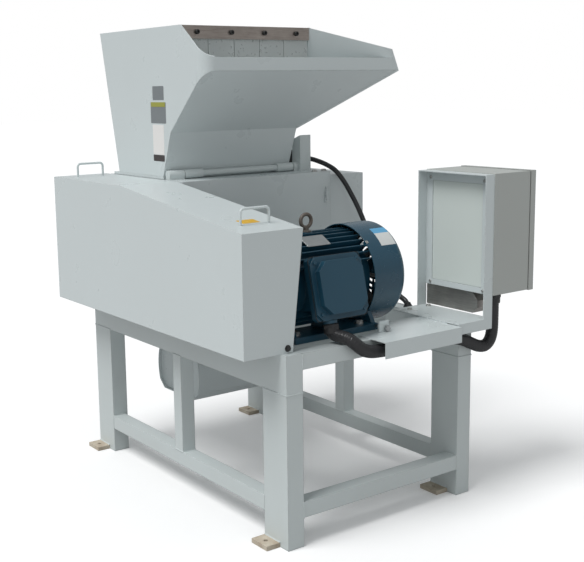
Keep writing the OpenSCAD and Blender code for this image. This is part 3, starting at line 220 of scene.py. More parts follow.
def edge_group():
    """Softened edges: a rounded normal, and a mask that is one along the edges."""
    group, into, out = new_group(
        "Soft edges",
        [("Radius", "NodeSocketFloat", 0.002), ("Vector", "NodeSocketVector", None)],
        [("Normal", "NodeSocketVector"), ("Edge", "NodeSocketFloat")],
    )
    bevel = group.nodes.new("ShaderNodeBevel")
    bevel.samples = 6
    group.links.new(into.outputs["Radius"], bevel.inputs["Radius"])
    flat = group.nodes.new("ShaderNodeNewGeometry")
    dot = group.nodes.new("ShaderNodeVectorMath")
    dot.operation = "DOT_PRODUCT"
    group.links.new(bevel.outputs[0], dot.inputs[0])
    group.links.new(flat.outputs["Normal"], dot.inputs[1])
    edge = ranged(group, dot.outputs["Value"], 0.98, 0.80)
    broken = ranged(group, noise(group, into.outputs["Vector"], 60.0, 4.0, 0.7), 0.42, 0.62)
    group.links.new(bevel.outputs[0], out.inputs["Normal"])
    group.links.new(math_node(group, "MULTIPLY", edge, broken), out.inputs["Edge"])
    return group


def brushed_group():
    """Drawn or turned metal: long fine scratches along one axis, and dull patches."""
    group, into, out = new_group(
        "Brushed metal",
        [("Vector", "NodeSocketVector", None), ("Stretch", "NodeSocketVector", (1, 1, 1)),
         ("Light", "NodeSocketColor", (0.6, 0.6, 0.6, 1)), ("Dark", "NodeSocketColor", (0.3, 0.3, 0.3, 1)),
         ("Roughness", "NodeSocketFloat", 0.3)],
        [("Color", "NodeSocketColor"), ("Roughness", "NodeSocketFloat"), ("Height", "NodeSocketFloat")],
    )
    scaled = group.nodes.new("ShaderNodeVectorMath")
    scaled.operation = "MULTIPLY"
    group.links.new(into.outputs["Vector"], scaled.inputs[0])
    group.links.new(into.outputs["Stretch"], scaled.inputs[1])
    lines = noise(group, scaled.outputs[0], 8.0, 6.0, 0.7)
    patches = noise(group, into.outputs["Vector"], 12.0, 4.0)
    mask = ranged(group, math_node(group, "ADD", math_node(group, "MULTIPLY", lines, 0.6),
                                   math_node(group, "MULTIPLY", patches, 0.4)), 0.35, 0.65)
    colour = blended(group, mask, into.outputs["Light"], into.outputs["Dark"])
    group.links.new(colour, out.inputs["Color"])
    spread = math_node(group, "MULTIPLY", math_node(group, "SUBTRACT", lines, 0.5), 0.5)
    rough = math_node(group, "ADD", into.outputs["Roughness"], spread, clamp=True)
    group.links.new(rough, out.inputs["Roughness"])
    group.links.new(lines, out.inputs["Height"])
    return group


def start_material(name):
    """A new material: its tree, its shader, and its object coordinates."""
    material = bpy.data.materials.new(name)
    material.use_nodes = True
    tree = material.node_tree
    shader = tree.nodes["Principled BSDF"]
    coords = tree.nodes.new("ShaderNodeTexCoord").outputs["Object"]
    return material, tree, shader, coords


def use_group(tree, group, **values):
    """Places a group; values are sockets or plain values, with _ for a space in a name."""
    node = tree.nodes.new("ShaderNodeGroup")
    node.node_tree = group
    for label, value in values.items():
        socket = node.inputs[label.replace("_", " ")]
        if isinstance(value, bpy.types.NodeSocket):
            tree.links.new(value, socket)
        elif hasattr(value, "__len__"):
            socket.default_value = (*value[:3], 1) if socket.type == "RGBA" else value
        else:
            socket.default_value = value
    return node


def add_bump(tree, shader, height, normal, distance, strength=0.6):
    """Fine relief on the shader, over the softened normal."""
    bump = tree.nodes.new("ShaderNodeBump")
    bump.inputs["Distance"].default_value = distance
    bump.inputs["Strength"].default_value = strength
    tree.links.new(height, bump.inputs["Height"])
    if normal is not None:
        tree.links.new(normal, bump.inputs["Normal"])
    tree.links.new(bump.outputs[0], shader.inputs["Normal"])


def set_inputs(shader, **values):
    """Sets plain values on a shader's inputs, with _ for a space in a name."""
    for label, value in values.items():
        shader.inputs[label.replace("_", " ")].default_value = value


def skinned(name, groups, kind, radius, relief, **values):
    """A material with the colour, roughness and relief of a skin group, and softened edges."""
    material, tree, shader, coords = start_material(name)
    skin = use_group(tree, groups[kind], Vector=coords, **values)
    edges = use_group(tree, groups["edges"], Radius=radius, Vector=coords)
    tree.links.new(skin.outputs["Color"], shader.inputs["Base Color"])
    tree.links.new(skin.outputs["Roughness"], shader.inputs["Roughness"])
    add_bump(tree, shader, skin.outputs["Height"], edges.outputs["Normal"], relief)
    return material, shader, skin, edges


def painted(name, groups, colour, dust=(0.30, 0.27, 0.22), rough=0.36, patch=2.6, amount=0.14, grain=700.0,
            relief=0.00005, chip=(0.35, 0.33, 0.30), chip_amount=0.35, radius=0.0022, coat=0.0):
    """A paint over metal, with worn edges."""
    material, shader, skin, edges = skinned(
        name, groups, "paint", radius, relief, Colour=colour, Dust_Colour=dust, Patch_Scale=patch,
        Patch_Amount=amount, Grain_Scale=grain, Roughness=rough)
    tree = material.node_tree
    worn = math_node(tree, "MULTIPLY", edges.outputs["Edge"], chip_amount)
    tree.links.new(blended(tree, worn, skin.outputs["Color"], chip), shader.inputs["Base Color"])
    set_inputs(shader, Coat_Weight=coat, Coat_Roughness=0.12)
    return material


def metal(name, groups, light, dark, stretch=(1, 1, 1), rough=0.32, relief=0.00004, radius=0.0012):
    """A bare metal with its machining marks."""
    material, shader, _, _ = skinned(name, groups, "brushed", radius, relief, Stretch=stretch, Light=light,
                                     Dark=dark, Roughness=rough)
    set_inputs(shader, Metallic=1.0)
    return material


def moulded(name, groups, colour, pale, rough=0.45, grain=500.0, relief=0.00006, coat=0.0, sheen=0.0):
    """A plastic or rubber: even colour with a dusty bloom and a fine grain."""
    material, shader, _, _ = skinned(name, groups, "paint", 0.001, relief, Colour=colour, Dust_Colour=pale,
                                     Patch_Scale=14.0, Patch_Amount=0.2, Grain_Scale=grain, Roughness=rough)
    set_inputs(shader, Coat_Weight=coat, Sheen_Weight=sheen)
    return material


def curtain_plastic(groups):
    """Cloudy flexible sheet that lets some light through."""
    material = moulded("Curtain", groups, (0.70, 0.74, 0.73), (0.62, 0.65, 0.64), rough=0.3)
    set_inputs(material.node_tree.nodes["Principled BSDF"], Transmission_Weight=0.25, IOR=1.45)
    return material


def make_materials(colours):
    """Every finish by name."""
    groups = {"paint": paint_skin_group(), "edges": edge_group(), "brushed": brushed_group()}
    finishes = [
        painted("Stand paint", groups, colours.paint, rough=0.34, amount=0.13, radius=0.004),
        painted("Sheet paint", groups, colours.sheet, rough=0.30, amount=0.06, patch=1.8, radius=0.003),
        painted("Panel paint", groups, (0.66, 0.72, 0.69), rough=0.4, amount=0.06, radius=0.002),
        painted("Weld paint", groups, colours.paint, rough=0.38, amount=0.25, relief=0.0003, grain=260.0),
        painted("Lug primer", groups, colours.lug, dust=(0.30, 0.20, 0.12), rough=0.7, amount=0.6, patch=22.0,
                relief=0.0003, chip_amount=0.5),
        painted("Cast motor paint", groups, colours.motor, dust=(0.03, 0.07, 0.09), rough=0.36, patch=9.0,
                amount=0.3, grain=330.0, relief=0.0003, chip=(0.06, 0.13, 0.16), chip_amount=0.5, radius=0.003,
                coat=0.1),
        painted("Pressed motor paint", groups, colours.motor, dust=(0.03, 0.07, 0.09), rough=0.26, patch=5.0,
                amount=0.25, relief=0.00008, chip=(0.08, 0.15, 0.18), radius=0.003, coat=0.2),
        painted("Forged eye", groups, (0.12, 0.105, 0.09), dust=(0.20, 0.13, 0.08), rough=0.45, patch=20.0,
                amount=0.6),
        painted("Cabinet paint", groups, colours.cabinet, rough=0.52, amount=0.10, grain=420.0, relief=0.00016,
                chip_amount=0.2),
        metal("Duct metal", groups, (0.44, 0.42, 0.40), (0.27, 0.26, 0.245), stretch=(50, 2, 50), rough=0.42),
        metal("Turned steel", groups, (0.62, 0.62, 0.62), (0.34, 0.34, 0.35), stretch=(40, 4, 4)),
        metal("Knife steel", groups, (0.60, 0.61, 0.62), (0.30, 0.30, 0.31), stretch=(3, 30, 30), rough=0.26),
        metal("Brushed clamp", groups, (0.46, 0.41, 0.37), (0.26, 0.22, 0.20), stretch=(2, 50, 50), rough=0.36),
        metal("Zinc screws", groups, (0.60, 0.60, 0.58), (0.38, 0.38, 0.37), stretch=(9, 9, 9), rough=0.34),
        metal("Bare plate", groups, (0.56, 0.58, 0.58), (0.40, 0.42, 0.43), stretch=(4, 60, 60), rough=0.38),
        moulded("Hose rubber", groups, (0.016, 0.016, 0.018), (0.06, 0.06, 0.06), rough=0.42, coat=0.15),
        moulded("Belt rubber", groups, (0.02, 0.02, 0.02), (0.05, 0.05, 0.05), rough=0.75, sheen=0.2),
        moulded("Moulded black", groups, (0.018, 0.018, 0.019), (0.05, 0.05, 0.05), rough=0.38),
        moulded("Black screws", groups, (0.02, 0.02, 0.02), (0.06, 0.06, 0.05), rough=0.4),
        moulded("Seal rubber", groups, (0.03, 0.03, 0.03), (0.06, 0.06, 0.06), rough=0.7),
        moulded("Start green", groups, (0.01, 0.30, 0.07), (0.05, 0.34, 0.12), rough=0.25, coat=0.3),
        moulded("Stop red", groups, (0.52, 0.012, 0.01), (0.55, 0.06, 0.04), rough=0.25, coat=0.3),
        moulded("Signal yellow", groups, (0.72, 0.42, 0.02), (0.70, 0.50, 0.15), rough=0.4),
        moulded("Pale film", groups, (0.62, 0.64, 0.63), (0.50, 0.50, 0.47), rough=0.5),
        moulded("White film", groups, (0.82, 0.80, 0.78), (0.66, 0.62, 0.58), rough=0.4),
        moulded("Grey film", groups, (0.20, 0.22, 0.23), (0.30, 0.31, 0.31), rough=0.45),
        moulded("Blue film", groups, (0.10, 0.36, 0.60), (0.45, 0.55, 0.60), rough=0.4),
        moulded("Olive film", groups, (0.34, 0.34, 0.05), (0.40, 0.40, 0.20), rough=0.4),
        moulded("Dark film", groups, (0.045, 0.035, 0.035), (0.10, 0.09, 0.09), rough=0.4),
        curtain_plastic(groups),
    ]
    return {m.name: m for m in finishes}


# Mesh building

def frame_along(axis):
    """A matrix that turns +Z to the given direction."""
    return Vector(axis).normalized().to_track_quat("Z", "Y").to_matrix().to_4x4()


def lathe(bm, profile, place, axis, segments=24, turn=0.0):
    """Turns a profile of (radius, height) pairs in metres about an axis at a place."""
    matrix = Matrix.Translation(place) @ frame_along(axis) @ Matrix.Rotation(turn, 4, "Z")
    rings = []
    for radius, height in profile:
        if radius < 1e-6:
            rings.append([bm.verts.new(matrix @ Vector((0, 0, height)))])
            continue
        rings.append([
            bm.verts.new(matrix @ Vector((radius * math.cos(2 * math.pi * k / segments),
                                          radius * math.sin(2 * math.pi * k / segments), height)))
            for k in range(segments)
        ])
    for a, b in zip(rings, rings[1:]):
        for k in range(segments):
            corners = [a[k % len(a)], a[(k + 1) % len(a)], b[(k + 1) % len(b)], b[k % len(b)]]
            distinct = list(dict.fromkeys(corners))
            if len(distinct) > 2:
                bm.faces.new(distinct)
    for ring, flip in ((rings[0], True), (rings[-1], False)):
        if len(ring) > 2:
            bm.faces.new(ring[::-1] if flip else ring)


def hex_bolt(bm, place, axis, size, washer=True, turn=0.2):
    """A hexagon head on its washer; size is the thread's diameter in metres."""
    base = 0.0
    if washer:
        lathe(bm, [(size * 1.15, -0.0004), (size * 1.15, size * 0.16), (size * 1.05, size * 0.2), (0, size * 0.2)],
              place, axis, 28)
        base = size * 0.2
    head = size * 0.92
    lathe(bm, [(head, base - 0.0002), (head, base + size * 0.52), (head * 0.84, base + size * 0.64),
               (0, base + size * 0.64)], place, axis, 6, turn)


def socket_screw(bm, place, axis, size):
    """A cylinder head with its socket."""
    r, h = size * 0.75, size * 0.8
    lathe(bm, [(r, -0.0004), (r, h * 0.85), (r * 0.9, h), (r * 0.5, h), (r * 0.5, h * 0.45), (0, h * 0.4)],
          place, axis, 24)


def pan_screw(bm, place, axis, size):
    """A low domed head with a driver recess."""
    r, h = size, size * 0.55
    lathe(bm, [(r, -0.0004), (r * 0.97, h * 0.4), (r * 0.8, h * 0.8), (r * 0.42, h), (r * 0.3, h * 0.98),
               (r * 0.2, h * 0.5), (0, h * 0.45)], place, axis, 24)


def rounded_outline(width, height, radius, steps=5):
    """Corner points of a rounded rectangle about its middle."""
    points = []
    for cx, cy, start in ((1, 1, 0), (-1, 1, 90), (-1, -1, 180), (1, -1, 270)):
        for k in range(steps + 1):
            angle = math.radians(start + 90 * k / steps)
            points.append((cx * (width / 2 - radius) + radius * math.cos(angle),
                           cy * (height / 2 - radius) + radius * math.sin(angle)))
    return points


def plate(bm, middle, across, up, width, height, thick, radius, lift=0.0):
    """A thin plate with rounded corners and a softened rim, lying on a surface."""
    across, up = Vector(across).normalized(), Vector(up).normalized()
    out = across.cross(up)
    rings = []
    for inset, level in ((0, lift), (0, lift + thick * 0.7), (thick * 0.4, lift + thick)):
        ring = rounded_outline(width - 2 * inset, height - 2 * inset, max(radius - inset, 1e-4))
        rings.append([bm.verts.new(middle + across * u + up * v + out * level) for u, v in ring])
    for a, b in zip(rings, rings[1:]):
        for k in range(len(a)):
            n = (k + 1) % len(a)
            bm.faces.new((a[k], a[n], b[n], b[k]))
    bm.faces.new(rings[0][::-1])
    bm.faces.new(rings[-1])


def smooth_route(points, steps):
    """A Catmull-Rom curve through the points, the same as in the part's source."""
    path = []
    for i in range(len(points) - 1):
        a, b = points[max(i - 1, 0)], points[i]
        c, d = points[i + 1], points[min(i + 2, len(points) - 1)]
        for k in range(steps):
            t = k / steps
            path.append(0.5 * ((2 * b) + (c - a) * t + (2 * a - 5 * b + 4 * c - d) * t * t
                               + (3 * b - a - 3 * c + d) * t * t * t))
    path.append(points[-1])
    return path


def even_path(path, spacing):
    """The same line, cut into equal steps."""
    lengths = [0.0]
    for a, b in zip(path, path[1:]):
        lengths.append(lengths[-1] + (b - a).length)
    count = max(2, round(lengths[-1] / spacing))
    even, j = [], 0
    for i in range(count + 1):
        want = lengths[-1] * i / count
        while j < len(lengths) - 2 and lengths[j + 1] < want:
            j += 1
        span = lengths[j + 1] - lengths[j] or 1e-9
        even.append(path[j].lerp(path[j + 1], (want - lengths[j]) / span))
    return even


def sweep(bm, path, radii, sides=16, closed=False):
    """A round skin along a path, with one radius for each point of it."""
    count = len(path)
    tangents = []
    for i in range(count):
        before = path[i - 1] if closed else path[max(i - 1, 0)]
        after = path[(i + 1) % count] if closed else path[min(i + 1, count - 1)]
        tangents.append((after - before).normalized())
    normal = tangents[0].orthogonal().normalized()
    rings = []
    for point, tangent, radius in zip(path, tangents, radii):
        normal = (normal - tangent * normal.dot(tangent)).normalized()
        side = tangent.cross(normal)
        turns = [2 * math.pi * k / sides for k in range(sides)]
        rings.append([bm.verts.new(point + (normal * math.cos(t) + side * math.sin(t)) * radius) for t in turns])
    pairs = list(zip(rings, rings[1:]))
    if closed:
        pairs.append((rings[-1], rings[0]))
    for a, b in pairs:
        for k in range(sides):
            n = (k + 1) % sides
            bm.faces.new((a[k], a[n], b[n], b[k]))
    if not closed:
        bm.faces.new(rings[0][::-1])
        bm.faces.new(rings[-1])


def bead(bm, corners, radius, closed=True):
    """A weld bead along straight seams, with its ripples."""
    line = [Vector(c) for c in corners]
    if closed:
        line.append(line[0])
    path = even_path(line, radius * 1.1)
    if closed:
        path = path[:-1]
    radii = [radius * (0.86 + 0.14 * math.cos(2.1 * i) + 0.05 * math.sin(0.37 * i)) for i in range(len(path))]
    sweep(bm, path, radii, 8, closed)


def seam_round(bm, corner, first, second, radius):
    """A closed bead round a rectangle: one corner and two sides, in the source's millimetres."""
    corner, first, second = Vector(corner), Vector(first), Vector(second)
    bead(bm, [at(*p) for p in (corner, corner + first, corner + first + second, corner + second)], radius)


def piece(name, bm, body, material, sharp=math.radians(35)):
    """Makes an object from the mesh, puts its finish on, and lets it ride on a body."""
    bmesh.ops.recalc_face_normals(bm, faces=bm.faces)
    mesh = bpy.data.meshes.new(name)
    bm.to_mesh(mesh)
    bm.free()
    mesh.materials.append(material)
    mesh.shade_smooth()
    mesh.set_sharp_from_angle(angle=sharp)
    thing = bpy.data.objects.new(name, mesh)
    bpy.context.scene.collection.objects.link(thing)
    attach(thing, body)
    return thing


def finish(name):
    """A finish that the paint operator made."""
    material = bpy.data.materials.get(name)
    if material is None:
        raise RuntimeError(f"the finish {name} isn't made yet: run the paint operator first")
    return material


# Settings

class GranulatorColours(bpy.types.PropertyGroup):
    """Colours of the machine's paints."""

    paint: FloatVectorProperty(name="Stand paint", description="Paint of the tube stand", subtype="COLOR",
                               size=3, default=(0.60, 0.655, 0.655), min=0, max=1)
    sheet: FloatVectorProperty(name="Sheet paint", description="Paint of the hopper, guard and covers",
                               subtype="COLOR", size=3, default=(0.62, 0.675, 0.68), min=0, max=1)
    motor: FloatVectorProperty(name="Motor paint", description="Paint of the motor", subtype="COLOR", size=3,
                               default=(0.010, 0.060, 0.100), min=0, max=1)
    cabinet: FloatVectorProperty(name="Cabinet paint", description="Textured paint of the control cabinet",
                                 subtype="COLOR", size=3, default=(0.44, 0.46, 0.44), min=0, max=1)
    lug: FloatVectorProperty(name="Lug colour", description="Colour of the anchor lugs", subtype="COLOR", size=3,
                             default=(0.58, 0.52, 0.42), min=0, max=1)


class GranulatorSizes(bpy.types.PropertyGroup):
    """Sizes of the trim."""

    conduit_radius: FloatProperty(name="Conduit radius", description="Radius of the motor's conduit over its ribs",
                                  default=0.0202, min=0.015, max=0.022, unit="LENGTH")
    cable_radius: FloatProperty(name="Cable radius", description="Radius of the switch cable", default=0.0092,
                                min=0.005, max=0.0105, unit="LENGTH")
    rib_pitch: FloatProperty(name="Rib pitch", description="Distance between two ribs of the conduit",
                             default=0.0052, min=0.003, max=0.012, unit="LENGTH")
    bead_radius: FloatProperty(name="Weld bead", description="Radius of a weld bead", default=0.0026, min=0.001,
                               max=0.005, unit="LENGTH")
    hose_sides: IntProperty(name="Hose sides", description="Facets around a hose", default=28, min=12, max=48)


class GranulatorSettings(bpy.types.PropertyGroup):
    """All settings of the dresser."""

    colours: PointerProperty(type=GranulatorColours, name="Colours", description="Colours of the paints")
    sizes: PointerProperty(type=GranulatorSizes, name="Sizes", description="Sizes of the trim")


# Operators

class GranulatorStage(bpy.types.Operator):
    """Put up the floor, the backdrop light, the lamps and the camera"""

    bl_idname = "granulator.stage"
    bl_label = "Studio and camera"

    def execute(self, context):
        scene = context.scene
        scene.view_settings.view_transform = "Standard"
        self.add_floor(scene)
        self.light_world(scene)
        self.add_lamps(scene)
        self.add_camera(scene)
        return {"FINISHED"}

    def add_floor(self, scene):
        """A wide flat floor, paler to the camera than to the light that bounces off it."""
        bm = bmesh.new()
        bmesh.ops.create_grid(bm, x_segments=24, y_segments=24, size=FLOOR_HALF)
        for vertex in bm.verts:
            vertex.co.z = -FLOOR_DROP
        mesh = bpy.data.meshes.new("floor")
        bm.to_mesh(mesh)
        bm.free()
        mesh.shade_smooth()
        material, tree, shader, coords = start_material("Studio floor")
        ray = tree.nodes.new("ShaderNodeLightPath")
        seen = ray.outputs["Is Camera Ray"]
        cloudy = blended(tree, noise(tree, coords, 1.5), (0.94, 0.94, 0.94), (0.96, 0.96, 0.96))
        tree.links.new(blended(tree, seen, (0.55, 0.55, 0.55), cloudy), shader.inputs["Base Color"])
        tree.links.new(math_node(tree, "MULTIPLY", seen, 0.10), shader.inputs["Emission Strength"])
        set_inputs(shader, Emission_Color=(1, 1, 1, 1), Specular_IOR_Level=0.1, Roughness=0.9)
        mesh.materials.append(material)
        floor = bpy.data.objects.new("floor", mesh)
        scene.collection.objects.link(floor)

    def light_world(self, scene):
        """A pale ambient light that the camera sees as plain white."""
        world = bpy.data.worlds.new("Studio world")
        world.use_nodes = True
        tree = world.node_tree
        tree.nodes.clear()
        ray = tree.nodes.new("ShaderNodeLightPath")
        seen = ray.outputs["Is Camera Ray"]
        strength = ranged(tree, seen, 0.0, 1.0, 0.45, 1.0)
        shade = tree.nodes.new("ShaderNodeBackground")
        tree.links.new(blended(tree, seen, (0.96, 0.985, 1.0), (1.0, 1.0, 1.0)), shade.inputs["Color"])
        tree.links.new(strength, shade.inputs["Strength"])
        out = tree.nodes.new("ShaderNodeOutputWorld")
        tree.links.new(shade.outputs[0], out.inputs["Surface"])
        scene.world = world

    def add_lamps(self, scene):
        """A soft key from the upper left, and a weak fill from the front."""
        for name, strength, angle, direction in LAMPS:
            lamp = bpy.data.lights.new(name, "SUN")
            lamp.energy = strength
            lamp.angle = math.radians(angle)
            thing = bpy.data.objects.new(name, lamp)
            thing.rotation_euler = Vector(direction).to_track_quat("Z", "Y").to_euler()
            scene.collection.objects.link(thing)

    def add_camera(self, scene):
        """The photograph's viewpoint."""
        data = bpy.data.cameras.new("camera")
        data.sensor_width = 36
        data.lens = CAMERA_LENS
        data.shift_x, data.shift_y = CAMERA_SHIFT
        data.clip_end = 60
        camera = bpy.data.objects.new("camera", data)
        turn = (Matrix.Rotation(math.radians(CAMERA_HEADING), 4, "Z")
                @ Matrix.Rotation(math.radians(CAMERA_PITCH), 4, "X")
                @ Matrix.Rotation(math.radians(CAMERA_ROLL), 4, "Z"))
        camera.matrix_world = Matrix.Translation(CAMERA_PLACE) @ turn
        scene.collection.objects.link(camera)
        scene.camera = camera


class GranulatorPaint(bpy.types.Operator):
    """Make the finishes and put them on the carried-over solids"""

    bl_idname = "granulator.paint"
    bl_label = "Paint and metal finishes"

    def execute(self, context):
        finishes = make_materials(context.scene.granulator.colours)
        for name, nodes in NODE_FINISH.items():
            for node in nodes:
                solid = NODES[node]
                if not solid.material_slots:
                    solid.data.materials.append(finishes[name])
                for place in solid.material_slots:
                    place.material = finishes[name]
        return {"FINISHED"}


class GranulatorHoses(bpy.types.Operator):
    """Run the ribbed conduit and the switch cable, with their glands"""

    bl_idname = "granulator.hoses"
    bl_label = "Conduit and cable"

    def execute(self, context):
        sizes = context.scene.granulator.sizes
        route = smooth_route([at(*p) for p in CONDUIT_ROUTE], 3)
        path = even_path(route, sizes.rib_pitch / 4)
        radii = [sizes.conduit_radius - 0.0009 * (0.5 + 0.5 * math.cos(math.pi * i / 2)) for i in range(len(path))]
        bm = bmesh.new()
        sweep(bm, path, radii, sizes.hose_sides)
        conduit = piece("motor_conduit_ribbed", bm, "base", finish("Hose rubber"))
        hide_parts("motor_conduit")
        route = smooth_route([at(*p) for p in CABLE_ROUTE], 4)
        path = even_path(route, 0.008)
        bm = bmesh.new()
        sweep(bm, path, [sizes.cable_radius] * len(path), sizes.hose_sides)
        cable = piece("switch_cable_round", bm, "base", finish("Hose rubber"))
        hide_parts("switch_cable")
        self.add_glands()
        return {"FINISHED"}

    def add_glands(self):
        """The nuts that hold the conduit and the cable in their housings."""
        bm = bmesh.new()
        down = (on_motor(0, 0, -1) - on_motor(0, 0, 0)).normalized()
        start = on_motor(205, -175, -147)
        lathe(bm, [(0.0205, 0.006), (0.024, 0.006), (0.026, 0.001), (0.026, -0.008), (0.024, -0.010),
                   (0.0205, -0.010)], start + down * 0.012, down, 6)
        lathe(bm, [(0.0203, 0.0), (0.0235, 0.0), (0.0245, -0.004), (0.0235, -0.018), (0.0203, -0.018)],
              start + down * 0.030, down, 32)
        end = at(838, -30, 682)
        lathe(bm, [(0.0204, -0.0005), (0.0262, -0.0005), (0.0262, 0.009), (0.0245, 0.011), (0.0204, 0.011)],
              end, (0, 0, -1), 6)
        lathe(bm, [(0.0203, 0.010), (0.0240, 0.010), (0.0240, 0.026), (0.0225, 0.030), (0.0203, 0.030)],
              end, (0, 0, -1), 32)
        lathe(bm, [(0.0093, 0.0), (0.0145, 0.0), (0.0145, 0.009), (0.0125, 0.012), (0.0093, 0.016)],
              at(705, 845, 1098), (1, 0, 0), 6)
        lathe(bm, [(0.0094, -0.0003), (0.0165, -0.0003), (0.0160, 0.004), (0.0125, 0.010), (0.0095, 0.018)],
              at(742, 271.5, 600), (0, 0.15, 1), 24)
        piece("hose_glands", bm, "base", finish("Moulded black"))


class GranulatorMotorTrim(bpy.types.Operator):
    """Add the motor's bare plates, cover screws, foot bolts and the terminal box's seal"""

    bl_idname = "granulator.motor_trim"
    bl_label = "Motor trim"

    def execute(self, context):
        self.add_screws()
        self.add_plates()
        self.add_seals()
        return {"FINISHED"}

    def add_screws(self):
        """The screws of the lid, and the bolts of the feet, cowl and bearing cover."""
        out = on_motor(0, -1, 0) - on_motor(0, 0, 0)
        bm = bmesh.new()
        for x in (167, 331):
            for up in (-118, 39):
                hex_bolt(bm, on_motor(x, -194, up), out, 0.007, washer=False)
        piece("lid_screws", bm, "base", finish("Cast motor paint"))
        bm = bmesh.new()
        for x in (133, 387):
            for y in (MOTOR_Y - FOOT_HALF_SPACING, MOTOR_Y + FOOT_HALF_SPACING):
                hex_bolt(bm, at(x, y, 620), (0, 0, 1), 0.014)
        for k in range(4):
            angle = math.radians(45 + 90 * k)
            radial = Vector((0, math.cos(angle), math.sin(angle)))
            pan_screw(bm, at(430, MOTOR_Y, MOTOR_Z) + radial * 0.1648, radial, 0.0062)
            hex_bolt(bm, at(66, MOTOR_Y, MOTOR_Z) + radial * 0.131, (-1, 0, 0), 0.010, washer=False)
        piece("motor_screws", bm, "base", finish("Zinc screws"))

    def add_plates(self):
        """The bare plate on the fins with its rivets, and the two films on the cowl."""
        bm = bmesh.new()
        angle = math.radians(61)
        out = Vector((0, -math.cos(angle), math.sin(angle)))
        up = Vector((0, math.sin(angle), math.cos(angle)))
        middle = at(253, MOTOR_Y, MOTOR_Z) + out * 0.1530
        plate(bm, middle, (1, 0, 0), up, 0.092, 0.052, 0.0012, 0.004)
        piece("motor_plate_bare", bm, "base", finish("Bare plate"))
        bm = bmesh.new()
        for du in (-0.041, 0.041):
            for dv in (-0.021, 0.021):
                pan_screw(bm, middle + Vector((du, 0, 0)) + up * dv + out * 0.0012, out, 0.0026)
        for du in (-0.038, 0.038):
            lathe(bm, [(0.004, -0.0035), (0.004, 0.0), (0.003, 0.0002), (0, 0.0002)],
                  middle + Vector((du, 0, 0)), out)
        piece("motor_plate_rivets", bm, "base", finish("Zinc screws"))
        self.curved_film("cowl_film_upper", 482, 544, 56, 65, "Blue film")
        self.curved_film("cowl_film_lower", 482, 544, 38, 56, "Pale film")

    def curved_film(self, name, x0, x1, low, high, material):
        """A bare film stuck on the cowl's curve, between two angles above the horizontal."""
        bm = bmesh.new()
        rows, columns = 8, 6
        grid = []
        for i in range(rows + 1):
            angle = math.radians(low + (high - low) * i / rows)
            radial = Vector((0, -math.cos(angle), math.sin(angle)))
            grid.append([bm.verts.new(at(x0 + (x1 - x0) * j / columns, MOTOR_Y, MOTOR_Z) + radial * 0.1653)
                         for j in range(columns + 1)])
        for a, b in zip(grid, grid[1:]):
            for j in range(columns):
                bm.faces.new((a[j], a[j + 1], b[j + 1], b[j]))
        bmesh.ops.recalc_face_normals(bm, faces=bm.faces)
        bmesh.ops.solidify(bm, geom=list(bm.faces), thickness=0.0004)
        piece(name, bm, "base", finish(material))

    def add_seals(self):
        """The flat seal between the terminal box and its lid."""
        bm = bmesh.new()
        up = (on_motor(0, 0, 1) - on_motor(0, 0, 0)).normalized()
        middle = on_motor(249, -186.2, -39.5)
        outer = [middle + Vector((u, 0, 0)) + up * v for u, v in rounded_outline(0.2028, 0.1958, 0.014)]
        sweep(bm, outer, [0.0011] * len(outer), 8, closed=True)
        piece("terminal_seal", bm, "base", finish("Seal rubber"))


class GranulatorFasteners(bpy.types.Operator):
    """Add the screws of the hopper, guard, chamber, bracket and cabinet"""

    bl_idname = "granulator.fasteners"
    bl_label = "Fasteners"

    def execute(self, context):
        bm = bmesh.new()
        for k in range(4):
            socket_screw(bm, at(HOPPER_X0 + 64 + 140 * k, 685, 1557.5), (0, -1, 0), 0.011)
        piece("clamp_screws", bm, "hopper", finish("Black screws"))
        bm = bmesh.new()
        hex_bolt(bm, at(26, 27, 615), (0, -1, 0), 0.009)
        piece("guard_screw", bm, "guard", finish("Black screws"))
        bm = bmesh.new()
        for y, z in ((232, 1056), (230, 692), (-12, 1056), (-13, 692)):
            pan_screw(bm, at(807, y, z), (-1, 0, 0), 0.0060)
        for x in (700, 790):
            hex_bolt(bm, at(x, 220, 607), (0, 0, 1), 0.008)
        for x in (120, 280, 440, 600, 720):
            for z in (620, 1035):
                pan_screw(bm, at(x, 1220, z), (0, 1, 0), 0.006)
        for y in (740, 960, 1180):
            for z in (625, 1015):
                pan_screw(bm, at(905, y, z), (1, 0, 0), 0.006)
        for x in (680, 725):
            for y in (715, 1190):
                hex_bolt(bm, at(x, y, COVER_TOP_Z), (0, 0, 1), 0.010)
        piece("cover_screws", bm, "base", finish("Zinc screws"))
        bm = bmesh.new()
        for y in (ROTOR_Y - 63, ROTOR_Y + 63):
            for z in (ROTOR_Z - 63, ROTOR_Z + 63):
                hex_bolt(bm, at(74, y, z), (-1, 0, 0), 0.013)
                hex_bolt(bm, at(660, y, z), (1, 0, 0), 0.013)
        for x in (18, 42):
            for y in (830, 960, 1090):
                hex_bolt(bm, at(x, y, 615), (0, 0, 1), 0.012)
        piece("bearing_bolts", bm, "base", finish("Zinc screws"))
        bm = bmesh.new()
        for i in range(5):
            for k in range(3):
                angle = math.radians((i % 3) * 40 + 120 * k)
                radial = Vector((0, math.cos(angle), math.sin(angle)))
                ahead = Vector((0, -math.sin(angle), math.cos(angle)))
                for x in (163, 187):
                    place = at(x + 96 * i, ROTOR_Y, ROTOR_Z) + radial * 0.124 + ahead * 0.022
                    socket_screw(bm, place, ahead, 0.010)
        piece("knife_screws", bm, "rotor", finish("Black screws"))
        return {"FINISHED"}


